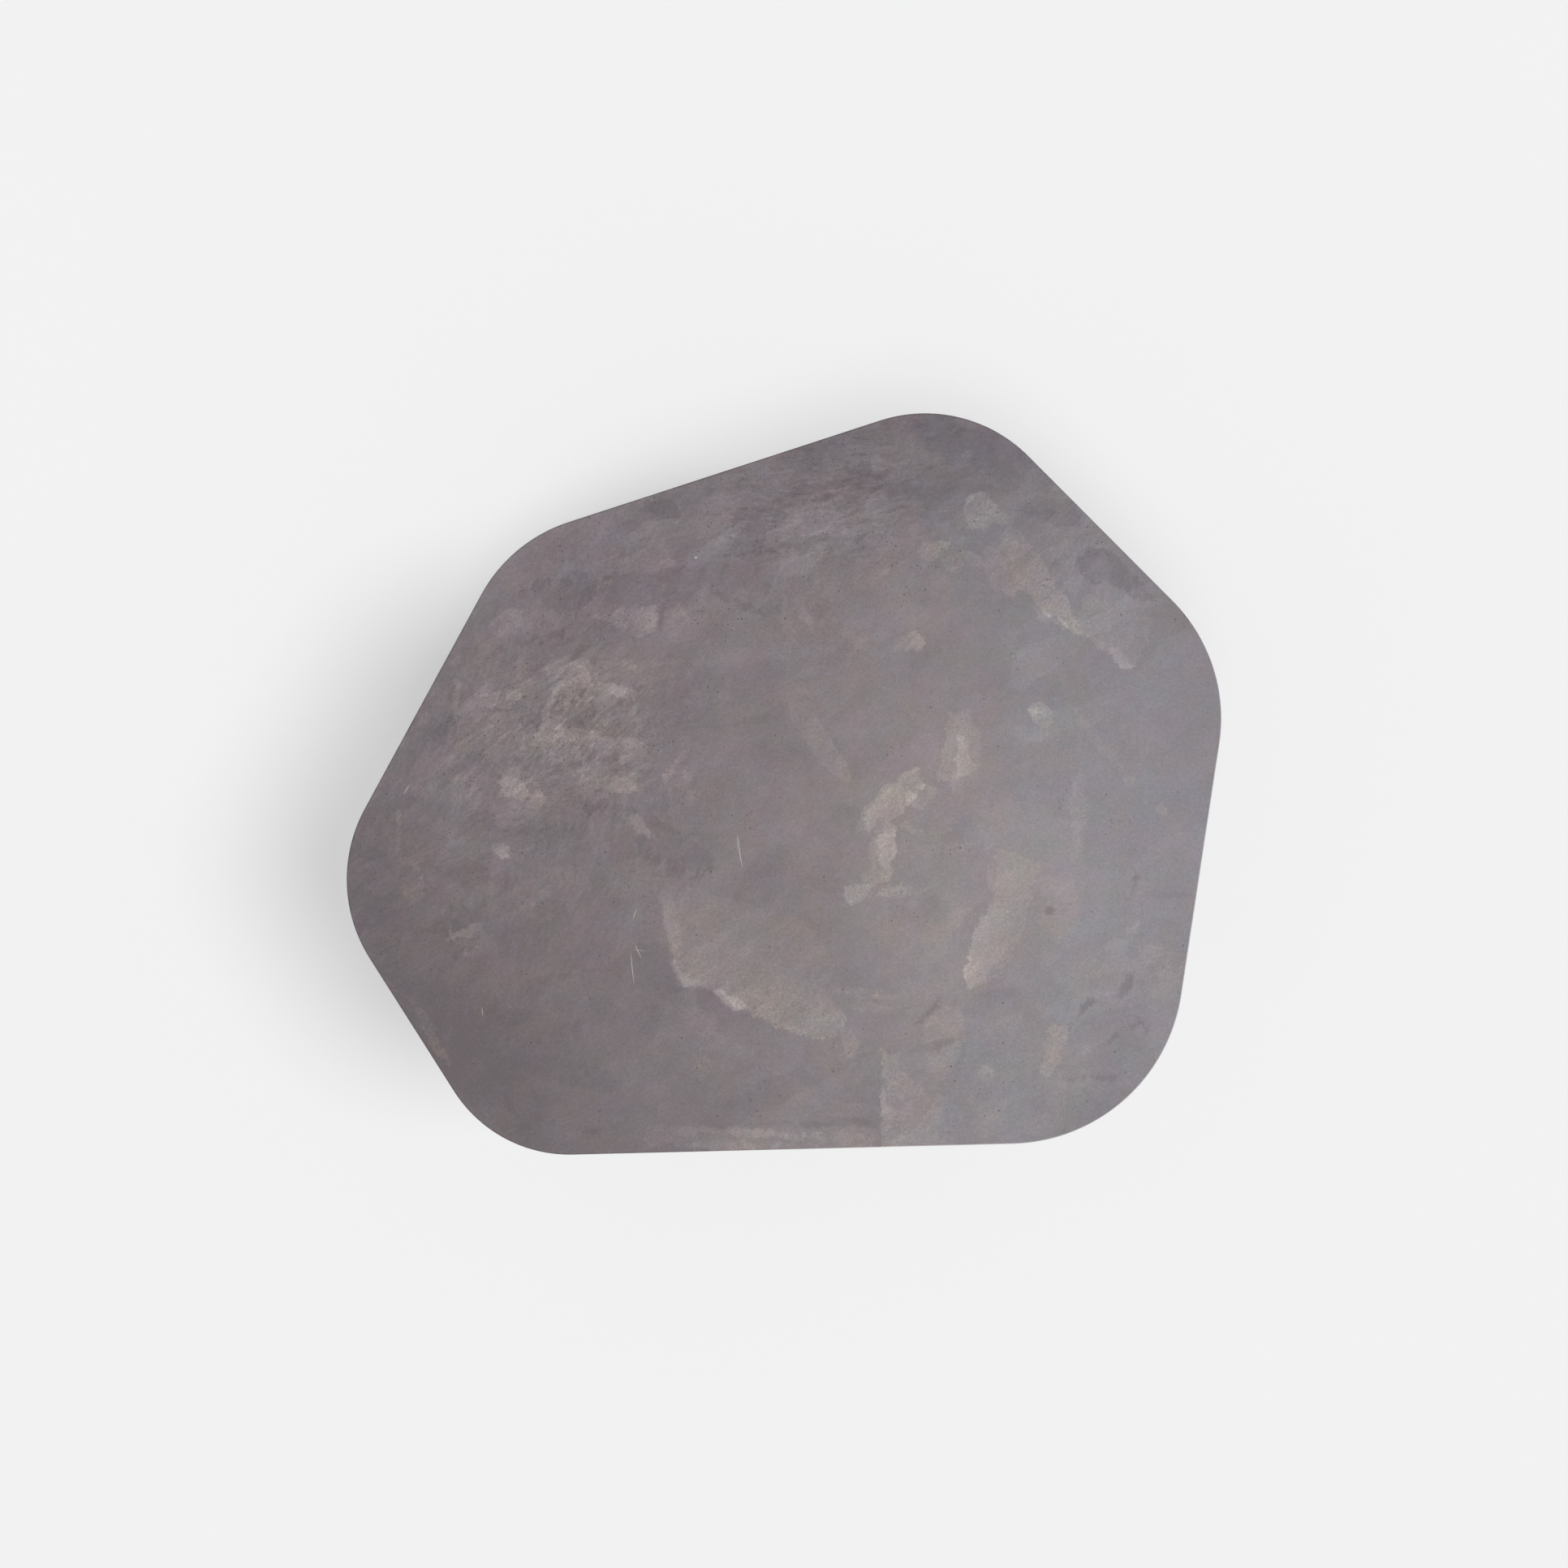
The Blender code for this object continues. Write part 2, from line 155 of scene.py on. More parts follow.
def deselect_all() -> None:
    """Leaves every object unselected, in object mode."""
    if bpy.context.object and bpy.context.object.mode != "OBJECT":
        bpy.ops.object.mode_set(mode="OBJECT")
    bpy.ops.object.select_all(action="DESELECT")


# ------------------------------------------------------------------ the top's outline
@dataclass(frozen=True)
class Corner:
    """One corner of the top before rounding: shares of the width and depth, and its radius."""

    across: float
    along: float
    radius: float


@dataclass
class RoundedOutline:
    """The top's outline: straight sides between circular corners, centred on the origin."""

    width: float
    depth: float
    corners: tuple[Corner, ...] = (
        Corner(-0.313, 0.328, 0.158),
        Corner(-0.527, -0.136, 0.152),
        Corner(-0.330, -0.502, 0.141),
        Corner(0.429, -0.480, 0.180),
        Corner(0.512, 0.167, 0.172),
        Corner(0.207, 0.528, 0.150),
    )
    fitting_rounds: int = 30
    arc_steps: int = 64

    def arcs(self) -> list[tuple[Vector, float, float, float]]:
        """Finds the corner arcs that give the outline its width and depth.

        Returns:
            Each arc's centre, radius, first angle and swept angle.
        """
        wide, deep, middle = self.width, self.depth, Vector((0.0, 0.0))
        for _ in range(self.fitting_rounds):
            sharp = [Vector((c.across * wide, c.along * deep)) - middle for c in self.corners]
            arcs = [self._arc(sharp, i) for i in range(len(sharp))]
            reach = [
                centre + Vector((math.cos(angle), math.sin(angle))) * radius
                for centre, radius, first, swept in arcs
                for angle in np.linspace(first, first + swept, self.arc_steps // 2 + 1)
            ]
            low = Vector((min(p.x for p in reach), min(p.y for p in reach)))
            high = Vector((max(p.x for p in reach), max(p.y for p in reach)))
            wide *= self.width / (high.x - low.x)
            deep *= self.depth / (high.y - low.y)
            middle += (low + high) / 2
        return arcs

    def _arc(self, sharp: list[Vector], i: int) -> tuple[Vector, float, float, float]:
        """Gives the arc that rounds one sharp corner."""
        corner = sharp[i]
        before = (sharp[i - 1] - corner).normalized()
        after = (sharp[(i + 1) % len(sharp)] - corner).normalized()
        radius = self.corners[i].radius
        half = before.angle(after) / 2
        centre = corner + (before + after).normalized() * radius / math.sin(half)
        start = corner + before * radius / math.tan(half) - centre
        return centre, radius, math.atan2(start.y, start.x), math.pi - 2 * half

    def sample(self, count: int, inset: float) -> tuple[np.ndarray, np.ndarray]:
        """Spreads points evenly along the outline.

        Args:
            count: how many points.
            inset: how far inside the outline they lie.

        Returns:
            The points and their outward normals, both count by 2.
        """
        points, normals = [], []
        for centre, radius, first, swept in self.arcs():
            for angle in np.linspace(first, first + swept, self.arc_steps + 1):
                outward = np.array([math.cos(angle), math.sin(angle)])
                points.append(np.array(centre) + outward * (radius - inset))
                normals.append(outward)
        loop, out = np.array(points + points[:1]), np.array(normals + normals[:1])
        run = np.concatenate([[0.0], np.cumsum(np.linalg.norm(np.diff(loop, axis=0), axis=1))])
        wanted = np.arange(count) / count * run[-1]
        place = np.stack([np.interp(wanted, run, loop[:, i]) for i in (0, 1)], 1)
        facing = np.stack([np.interp(wanted, run, out[:, i]) for i in (0, 1)], 1)
        return place, facing / np.linalg.norm(facing, axis=1)[:, None]


# ------------------------------------------------------------------ painting the coat
class Layer(Enum):
    """The layers of a hand-laid coat, by the attribute that carries each."""

    BROAD = "coat_broad"
    BRIGHT = "coat_bright"
    DARK = "coat_dark"


@dataclass(frozen=True)
class Patch:
    """A trowelled patch: a polygon, crisp on one side and dissolving along its feather.

    Its hue is a shift towards rose and towards blue, in sRGB levels, and its rim a pale ridge. Without a
    layer it only shifts the hue.
    """

    layer: Layer | None
    points: tuple[Point, ...]
    feather: Point = (0.0, 0.0)
    level: float = 1.0
    hue: Point = (0.0, 0.0)
    rim: float = 0.0


@dataclass(frozen=True)
class Stroke:
    """A short pass of the trowel: an oval at a place, turned by an angle in degrees."""

    layer: Layer
    place: Point
    length: float
    width: float
    angle: float
    level: float = 1.0
    hue: Point = (0.0, 0.0)
    rim: float = 0.0


@dataclass(frozen=True)
class Wash:
    """A wide soft change round a place: of tone, of hue, and of how busy the fine marks are.

    Flat is how far the fine marks lie along the table instead of slanting, and calm how much weaker the
    clouding is, both from 0 to 1.
    """

    place: Point
    reach: Point
    tone: float
    hue: Point = (0.0, 0.0)
    busy: float = 0.0
    flat: float = 0.0
    calm: float = 0.0


def cloud(u: np.ndarray, v: np.ndarray, size: float, seed: int) -> np.ndarray:
    """Smooth random field between 0 and 1.

    Args:
        u: first coordinate of each point, in metres.
        v: second coordinate.
        size: distance between the field's random values.
        seed: which field.

    Returns:
        The field at each point.
    """
    count = 256  # the lattice comes round again after so many values
    lattice = np.random.default_rng(seed).random((count, count))
    a, b = u / size + 700.3, v / size + 700.7
    i, j = np.floor(a).astype(int), np.floor(b).astype(int)
    s, t = a - i, b - j
    s, t = s * s * (3 - 2 * s), t * t * (3 - 2 * t)
    i, j, i1, j1 = i % count, j % count, (i + 1) % count, (j + 1) % count
    low = lattice[j, i] * (1 - s) + lattice[j, i1] * s
    high = lattice[j1, i] * (1 - s) + lattice[j1, i1] * s
    return low * (1 - t) + high * t


def polygon_distance(u: np.ndarray, v: np.ndarray, points: tuple[Point, ...]) -> np.ndarray:
    """Signed distance to a polygon, negative inside."""
    nearest = np.full(u.shape, 1e9)
    inside = np.zeros(u.shape, bool)
    for (x0, y0), (x1, y1) in zip(points, points[1:] + points[:1]):
        dx, dy = x1 - x0, y1 - y0
        along = np.clip(((u - x0) * dx + (v - y0) * dy) / (dx * dx + dy * dy), 0, 1)
        nearest = np.minimum(nearest, np.hypot(u - x0 - along * dx, v - y0 - along * dy))
        crosses = (y0 > v) != (y1 > v)
        inside ^= crosses & (u < x0 + (v - y0) * dx / (dy if dy else 1e-12))
    return np.where(inside, -nearest, nearest)


@dataclass
class CoatPainting:
    """Works out a coat's painted layers at points of its surface.

    Each shape is stored as a ramp that passes one half at its edge, and the finish cuts the ramp with
    fine noise, so that an edge is crisper and more ragged than the mesh's own spacing.
    """

    patches: Sequence[Patch] = ()
    strokes: Sequence[Stroke] = ()
    washes: Sequence[Wash] = ()
    ramp: float = 9 * MM
    wobble: float = 3 * MM
    girth: float = 0.0  # the distance after which u comes round again, or zero
    thinned: float = 0.28  # how much lower the ramp is where a shape has dissolved
    layers: dict[Layer, np.ndarray] = field(default_factory=dict)

    def paint(self, u: np.ndarray, v: np.ndarray) -> dict[str, np.ndarray]:
        """Paints the layers.

        Args:
            u: first surface coordinate of each vertex, in metres.
            v: second surface coordinate.

        Returns:
            For each attribute, n by 3 values: (ramp, level, rim) for the layers, and (tone, rose, blue)
            and (busy, flat, calm) for the veil and the fine marks. The veil's tone carries what the washes
            give, painted light included where they stand for it.
        """
        sway = self.wobble
        bend_u = u + (cloud(u, v, 16 * MM, 3) * 2 + cloud(u, v, 6 * MM, 4) - 1.5) * sway
        bend_v = v + (cloud(u, v, 16 * MM, 5) * 2 + cloud(u, v, 6 * MM, 6) - 1.5) * sway
        self.layers = {layer: np.zeros((len(u), 3)) for layer in Layer}
        veil_and_light, marks = np.zeros((len(u), 3)), np.zeros((len(u), 3))
        for patch in self.patches:
            rise = self._rise(polygon_distance(bend_u, bend_v, patch.points))
            self._lay(patch, rise, self._fall(patch, u, v), veil_and_light)
        for stroke in self.strokes:
            distance, along = self._oval(stroke, bend_u, bend_v)
            self._lay(stroke, self._rise(distance), np.clip(0.88 + 0.4 * along, 0.3, 1.2), veil_and_light)
        for wash in self.washes:
            away = ((u - wash.place[0]) / wash.reach[0]) ** 2 + ((v - wash.place[1]) / wash.reach[1]) ** 2
            weight = np.exp(-away)
            veil_and_light += np.array([wash.tone, *wash.hue]) * weight[:, None]
            marks += np.array([wash.busy, wash.flat, wash.calm]) * weight[:, None]
        painted = {layer.value: values for layer, values in self.layers.items()}
        return painted | {"coat_veil_and_painted_light": veil_and_light, "coat_marks": marks}

    def _rise(self, distance: np.ndarray) -> np.ndarray:
        """Turns a signed distance into a ramp that is one half at the edge."""
        return np.clip(0.5 - distance / (2 * self.ramp), 0, 1)

    def _fall(self, patch: Patch, u: np.ndarray, v: np.ndarray) -> np.ndarray:
        """How much of a patch is left, from its crisp side along its feather."""
        length = math.hypot(*patch.feather)
        if not length:
            return np.ones(len(u))
        direction = (patch.feather[0] / length, patch.feather[1] / length)
        start = min(x * direction[0] + y * direction[1] for x, y in patch.points)
        run = (u * direction[0] + v * direction[1] - start) / length
        return 1 - np.clip(run, 0, 1)

    def _oval(self, stroke: Stroke, u: np.ndarray, v: np.ndarray) -> tuple[np.ndarray, np.ndarray]:
        """Signed distance to a stroke's oval, near enough for a ramp, and the place along it."""
        du = u - stroke.place[0]
        if self.girth:
            du = (du + self.girth / 2) % self.girth - self.girth / 2
        dv = v - stroke.place[1]
        turn = math.radians(stroke.angle)
        a = (du * math.cos(turn) + dv * math.sin(turn)) / (stroke.length / 2)
        b = (-du * math.sin(turn) + dv * math.cos(turn)) / (stroke.width / 2)
        return (np.hypot(a, b) - 1) * stroke.width / 2, a

    def _lay(self, shape: Patch | Stroke, rise: np.ndarray, left: np.ndarray, veil_and_light: np.ndarray) -> None:
        """Adds one shape to its layer, and its hue to the veil where it covers."""
        ramp = rise * (1 - self.thinned + self.thinned * left)
        cover = np.clip(ramp * 2.4 - 0.7, 0, 1) * left
        veil_and_light[:, 1:] += cover[:, None] * shape.hue
        if shape.layer is None:
            return
        values = self.layers[shape.layer]
        wins = ramp > values[:, 0]
        values[wins, 0] = ramp[wins]
        near = np.clip(rise * 4, 0, 1)
        for column, amount in ((1, shape.level * near * left), (2, shape.rim * near * left**2)):
            kept = values[:, column]
            values[:, column] = np.where(wins, np.maximum(amount, kept * (1 - near)), kept)


def scattered_strokes(count: int, low: Point, high: Point, seed: int, lean: float) -> list[Stroke]:
    """Scatters short trowel passes over a surface.

    Args:
        count: how many.
        low: lowest surface coordinates.
        high: highest surface coordinates.
        seed: which arrangement.
        lean: the passes' usual angle in degrees.

    Returns:
        The strokes.
    """
    rng = np.random.default_rng(seed)
    strokes = []
    for _ in range(count):
        place = (float(rng.uniform(low[0], high[0])), float(rng.uniform(low[1], high[1])))
        length, width = float(rng.uniform(0.014, 0.060)), float(rng.uniform(0.006, 0.018))
        layer = (Layer.BROAD, Layer.DARK, Layer.BROAD, Layer.DARK, Layer.BRIGHT)[int(rng.integers(5))]
        level = float(rng.uniform(0.10, 0.42)) * (0.5 if layer is Layer.BRIGHT else 1.0)
        angle = lean + float(rng.normal(0, 28))
        hue = (float(rng.normal(0, 0.7)), float(rng.normal(0, 0.9)))
        strokes.append(Stroke(layer, place, length, width, angle, level, hue, float(rng.uniform(0, 0.3))))
    return strokes


def chatter(start: Point, end: Point, count: int, length: float, angle: float, level: float) -> list[Stroke]:
    """Sets a row of short dark ticks, as a trowel leaves when it skips over the setting coat.

    Args:
        start: where the row begins.
        end: where it ends.
        count: how many ticks.
        length: a tick's usual length.
        angle: the ticks' usual angle in degrees.
        level: how dark they are.

    Returns:
        The ticks.
    """
    rng = np.random.default_rng(count)
    ticks = []
    for share in np.linspace(0, 1, count):
        x = start[0] + (end[0] - start[0]) * share + rng.normal(0, 1.5 * MM)
        y = start[1] + (end[1] - start[1]) * share + rng.normal(0, 2.5 * MM)
        long, wide = length * rng.uniform(0.6, 1.3), rng.uniform(3.0, 5.5) * MM
        lean = angle + rng.normal(0, 9)
        ticks.append(Stroke(Layer.DARK, (x, y), long, wide, lean, level))
    return ticks


def store_attribute(mesh: bpy.types.Mesh, name: str, values: np.ndarray) -> None:
    """Stores a vector for each vertex under a name."""
    attribute = mesh.attributes.new(name, "FLOAT_VECTOR", "POINT")
    attribute.data.foreach_set("vector", np.ascontiguousarray(values, np.float32).ravel())


def vertex_array(mesh: bpy.types.Mesh) -> np.ndarray:
    """Gives a mesh's vertex places as an n by 3 array."""
    places = np.empty(len(mesh.vertices) * 3, np.float32)
    mesh.vertices.foreach_get("co", places)
    return places.reshape(-1, 3).astype(float)


def set_vertex_array(mesh: bpy.types.Mesh, places: np.ndarray) -> None:
    """Moves a mesh's vertices to the places of an n by 3 array."""
    mesh.vertices.foreach_set("co", np.ascontiguousarray(places, np.float32).ravel())
    mesh.update()


# ------------------------------------------------------------------ finishes
@dataclass(frozen=True)
class Brush:
    """Streaks along the trowel's way: their angle and its spread in degrees, and how dense they are."""

    angle: float
    spread: float
    density: tuple[float, float, float] = (75.0, 240.0, 120.0)  # a metre along, across and through
    detail: float = 5.0
    rough: float = 0.85


@dataclass(frozen=True)
class Microcement:
    """Microcement: cement, resin and pigment laid 3 mm thick by trowel, sanded and sealed.

    To the eye it is a satin mineral surface whose tone shifts in overlapping passes, with ragged light
    edges where a pass ended, pinholes from trapped air, painted dark for the shade in them, and a fine
    sandy grain. Tones run from 0 to 1, from the darkest of its colours to the palest.
    """

    name: str = "microcement"
    tones: tuple[str, ...] = ("#5b5256", "#6f6669", "#837b7e", "#999294", "#bcb5b4")
    # painted shade: the dark colour of the shade inside a pinhole
    pit_shade: str = "#474042"
    sand: str = "#d9d4d2"
    stain: str = "#5d4a40"
    roughness: float = 0.62
    # tone: its middle, the depth of the clouds, and what each painted layer and its ridge add
    middle: float = 0.30
    clouding: float = 0.85
    broad: float = 0.15
    bright: float = 0.28
    dark: float = -0.15
    broad_rim: float = 0.12
    bright_rim: float = 0.10
    # hue: the linear share that shows as one sRGB level, the blots' depth and the pale coat's warmth
    hue_step: float = 0.0175
    blotting: float = 4.6
    pale_rose: float = 0.9
    pale_blue: float = -2.2
    # sizes of the clouds, of the blots, of the ragged edges and of the sandy grain
    cloud_size: float = 160 * MM
    blot_size: float = 45 * MM
    ragged_size: float = 18 * MM
    grain_size: float = 2.6 * MM
    # pinholes gather in crowds of this size; they and sand grains come one to a cell at most
    crowd_size: float = 50 * MM
    pit_cell: float = 5 * MM
    sand_cell: float = 30 * MM
    sand_share: float = 0.07
    # brushes for the broad coat, and for the fine marks and flecks where they slant and where they lie flat
    broad_brush: Brush = Brush(42.0, 0.0, (16.0, 70.0, 40.0))
    fine_brushes: tuple[Brush, Brush] = (Brush(45.0, 45.0), Brush(8.0, 25.0))
    fleck_brushes: tuple[Brush, Brush] = (
        Brush(50.0, 75.0, (30.0, 130.0, 60.0), 3.0, 0.6),
        Brush(8.0, 20.0, (30.0, 130.0, 60.0), 2.5, 0.6),
    )

    def build(
        self, marks: Sequence[Scratch] = (), stain: Point | None = None, height: float = 0.0
    ) -> bpy.types.Material:
        """Builds the material.

        Args:
            marks: hairline scratches to draw.
            stain: centre of a small round stain, or None.
            height: the height of the face that carries the marks.

        Returns:
            The material.
        """
        material, tree, shader = new_material(self.name)
        where = add(tree, "TexCoord").outputs["Object"]
        # the veil carries the coat's own tone and hue and, on the top, painted light: paler towards the
        # right, darker at the back and front left, and a painted highlight along the arris
        soft, rose, blue = self._painted(tree, "coat_veil_and_painted_light")
        busy, flat, calm = self._painted(tree, "coat_marks")
        sizes = ((self.ragged_size, 7, 0.8), (self.grain_size, 3, 0.9), (self.cloud_size, 8, 0.8))
        ragged, grain, clouds = (
            add(tree, "TexNoise", {"Vector": where, "Scale": 1 / size, "Detail": detail, "Roughness": rough})
            for size, detail, rough in sizes
        )
        light, rim = self._layer(tree, "coat_broad", ragged)
        light = add(tree, "Math", (light, self._brushed(tree, where)), operation="MULTIPLY")
        glow, glow_rim = self._layer(tree, "coat_bright", ragged)
        deep, _ = self._layer(tree, "coat_dark", ragged)
        pale = add(tree, "Math", (light, glow), operation="MAXIMUM")

        cloudy = add(tree, "Math", (clouds, 0.5), operation="SUBTRACT")
        sandy = add(tree, "Math", (grain, 0.5), operation="SUBTRACT")
        parts = (
            (cloudy, add(tree, "Math", (calm, -self.clouding, self.clouding), operation="MULTIPLY_ADD")),
            (light, self.broad),
            (glow, self.bright),
            (deep, self.dark),
            (rim, self.broad_rim),
            (glow_rim, self.bright_rim),
            (self._trowelled(tree, where, busy, flat), 1.0),
            (sandy, add(tree, "Math", (pale, 0.35, 0.50), operation="MULTIPLY_ADD")),
        )
        tone = self._sum(tree, add(tree, "Math", (soft, self.middle), operation="ADD"), parts)

        # the pale upper coat is a little warmer than the one below it
        rose = self._sum(tree, rose, ((pale, self.pale_rose),))
        blue = self._sum(tree, blue, ((pale, self.pale_blue),))
        ramp = add(tree, "ValToRGB", (tone,))
        self._stops(ramp.color_ramp)
        colour = self._tinted(tree, ramp, where, rose, blue)
        colour, pits = self._pinholes(tree, colour, where, busy)
        for mark in marks:
            colour = mark.draw(tree, colour, where)
        if stain:
            colour = self._stained(tree, colour, where, (*stain, height))

        rough = add(tree, "Math", (cloudy, 0.22, self.roughness), operation="MULTIPLY_ADD")
        rough = self._sum(tree, rough, ((glow, 0.10),))
        relief = add(tree, "Math", (grain, 0.12), operation="MULTIPLY")
        relief = self._sum(tree, relief, ((ragged, 0.35), (light, 0.4), (rim, 0.5), (pits, -0.9)))
        bump = add(tree, "Bump", {"Height": relief, "Strength": 0.6, "Distance": 0.2 * MM})
        fill(tree, shader, {"Base Color": colour, "Roughness": rough, "Normal": bump})
        return material

    def _sum(self, tree: Tree, value: Source, parts: Sequence[tuple[Source, Source]]) -> Source:
        """Adds parts to a value.

        Args:
            tree: the material's nodes.
            value: the first value.
            parts: what is added, each part with its weight.

        Returns:
            The sum.
        """
        for part, weight in parts:
            value = add(tree, "Math", (part, weight, value), operation="MULTIPLY_ADD")
        return value

    def _painted(self, tree: Tree, name: str) -> Sequence[Source]:
        """Reads the three values of a painted attribute."""
        painted = add(tree, "Attribute", attribute_name=name).outputs["Vector"]
        return tuple(add(tree, "SeparateXYZ", (painted,)).outputs)

    def _bent(self, tree: Tree, where: Source, size: float, reach: float) -> Source:
        """Pushes coordinates about by noise, so that what follows them is ragged.

        Args:
            tree: the material's nodes.
            where: the coordinates.
            size: the noise's size.
            reach: how far they go at most.

        Returns:
            The pushed coordinates.
        """
        noise = add(tree, "TexNoise", {"Vector": where, "Scale": 1 / size, "Detail": 5, "Roughness": 0.65})
        push = add(tree, "VectorMath", (noise.outputs[1], (0.5, 0.5, 0.5)), operation="SUBTRACT")
        push = add(tree, "VectorMath", {0: push, "Scale": reach * 2}, operation="SCALE")
        return add(tree, "VectorMath", (where, push), operation="ADD")

    def _layer(self, tree: Tree, name: str, ragged: Source) -> tuple[Source, Source]:
        """Cuts a painted layer's ramp with noise.

        Args:
            tree: the material's nodes.
            name: the layer's attribute.
            ragged: the noise.

        Returns:
            The layer's cover times its level, and the pale ridge along its edge.
        """
        ramp, level, rim = self._painted(tree, name)
        cut = self._sum(tree, add(tree, "Math", (ramp, 0.65), operation="SUBTRACT"), ((ragged, 1.3),))
        cover, inner = (
            add(tree, "MapRange", (cut, low, high), interpolation_type="SMOOTHSTEP")
            for low, high in ((0.40, 0.56), (0.50, 0.68))
        )
        ridge = add(tree, "Math", (cover, inner), operation="SUBTRACT")
        return (
            add(tree, "Math", (cover, level), operation="MULTIPLY"),
            add(tree, "Math", (ridge, rim), operation="MULTIPLY"),
        )

    def _streaks(self, tree: Tree, where: Source, chance: Source, brush: Brush) -> Source:
        """Adds short streaks whose direction changes from pass to pass.

        Args:
            tree: the material's nodes.
            where: the coordinates.
            chance: a number from 0 to 1 that is the same all over one pass.
            brush: how the streaks run.

        Returns:
            The streaks, from 0 to 1.
        """
        spread, first = math.radians(brush.spread), math.radians(brush.angle - brush.spread / 2)
        turn = add(tree, "Math", (chance, -spread, -first), operation="MULTIPLY_ADD")
        turned = add(tree, "VectorRotate", {"Vector": where, "Angle": turn})
        drawn = add(tree, "VectorMath", (turned, brush.density), operation="MULTIPLY")
        fineness = {"Detail": brush.detail, "Roughness": brush.rough}
        return add(tree, "TexNoise", {"Vector": drawn, "Scale": 1.0, **fineness})

    def _brushed(self, tree: Tree, where: Source) -> Source:
        """Gives how thick the broad coat lies, which the trowel drew out in streaks."""
        streaks = self._streaks(tree, self._bent(tree, where, 30 * MM, 12 * MM), 0.5, self.broad_brush)
        thick = add(tree, "MapRange", (streaks, 0.34, 0.62), interpolation_type="SMOOTHSTEP")
        return add(tree, "Math", (thick, 0.9, 0.45), operation="MULTIPLY_ADD")

    def _trowelled(self, tree: Tree, where: Source, busy: Source, flat: Source) -> Source:
        """Makes small overlapping passes, each with its own streaks' direction.

        Args:
            tree: the material's nodes.
            where: the coordinates.
            busy: how much stronger the marks are here.
            flat: how far they lie along the table instead of slanting.

        Returns:
            What they add to the tone.
        """
        passes = self._passes(tree, self._bent(tree, where, 35 * MM, 14 * MM), 70 * MM, 35.0)
        flakes = self._passes(tree, self._bent(tree, where, 10 * MM, 6 * MM), 22 * MM, 40.0)
        near = self._bent(tree, where, 12 * MM, 4 * MM)
        fine, flecks = (
            add(tree, "Mix", {0: flat, 2: streaks[0], 3: streaks[1]})
            for streaks in (
                [self._streaks(tree, near, passes[1], brush) for brush in brushes]
                for brushes in (self.fine_brushes, self.fleck_brushes)
            )
        )
        pale_flecks = add(tree, "MapRange", (flecks, 0.56, 0.61), interpolation_type="SMOOTHSTEP")
        unmarked = add(tree, "MapRange", (flecks, 0.37, 0.42), interpolation_type="SMOOTHSTEP")
        fine, flake, piece, dark_flecks = (
            add(tree, "Math", (value, middle), operation="SUBTRACT")
            for value, middle in ((fine, 0.5), (flakes[0], 0.5), (passes[0], 0.5), (unmarked, 1.0))
        )
        tone = add(tree, "Math", (fine, 0.42), operation="MULTIPLY")
        tone = self._sum(tree, tone, ((flake, 0.08), (pale_flecks, 0.05), (dark_flecks, 0.05)))
        more = add(tree, "Math", (busy, 1.1, 0.30), operation="MULTIPLY_ADD")
        tone = add(tree, "Math", (tone, more), operation="MULTIPLY")
        return self._sum(tree, tone, ((piece, 0.06),))

    def _passes(self, tree: Tree, where: Source, size: float, angle: float) -> Sequence[Source]:
        """Adds a mosaic of overlapping trowel passes, longer than wide.

        Args:
            tree: the material's nodes.
            where: the coordinates.
            size: a pass's usual size.
            angle: how the passes lie, in degrees.

        Returns:
            Random numbers, the same all over one pass.
        """
        longer, turn = 1.5, (0, 0, math.radians(angle))
        inputs = {"Vector": where, "Rotation": turn, "Scale": (longer, 1 / longer, 1)}
        return self._cells(tree, add(tree, "Mapping", inputs, vector_type="TEXTURE"), size)[0]

    def _cells(self, tree: Tree, where: Source, size: float) -> tuple[Sequence[Source], Source]:
        """Adds cells with random centres: each one's random numbers, and the distance from its centre."""
        cells = add(tree, "TexVoronoi", {"Vector": where, "Scale": 1 / size, "Randomness": 1.0}).outputs
        return add(tree, "SeparateColor", (cells["Color"],)).outputs, cells["Distance"]

    def _stops(self, ramp: bpy.types.ColorRamp) -> None:
        """Spreads the tones evenly along a colour ramp."""
        while len(ramp.elements) < len(self.tones):
            ramp.elements.new(0.5)
        for index, (element, code) in enumerate(zip(ramp.elements, self.tones)):
            element.position = index / (len(self.tones) - 1)
            element.color = linear(code)

    def _tinted(self, tree: Tree, colour: Source, where: Source, rose: Source, blue: Source) -> Source:
        """Shifts the hue in small blots, as pigment and sealer gather unevenly.

        Args:
            tree: the material's nodes.
            colour: the colour below.
            where: the coordinates.
            rose: the shift towards rose, in sRGB levels.
            blue: the shift towards blue.

        Returns:
            The tinted colour.
        """
        shift = []
        least = 1 - self.blotting / 2 * self.hue_step
        for index, painted in enumerate((rose, blue)):
            # red and blue have their own blots
            place = add(tree, "VectorMath", (where, (0.31 * index, 0.17, 0.0)), operation="ADD")
            inputs = {"Vector": place, "Scale": 1 / self.blot_size, "Detail": 5, "Roughness": 0.75}
            blots = add(tree, "TexNoise", inputs)
            blots = add(tree, "MapRange", (blots, 0.38, 0.62), interpolation_type="SMOOTHSTEP")
            levels = self._sum(tree, painted, ((blots, self.blotting),))
            shift.append(add(tree, "Math", (levels, self.hue_step, least), operation="MULTIPLY_ADD"))
        factor = add(tree, "CombineXYZ", (shift[0], 1.0, shift[1]))
        return add(tree, "VectorMath", (colour, factor), operation="MULTIPLY")

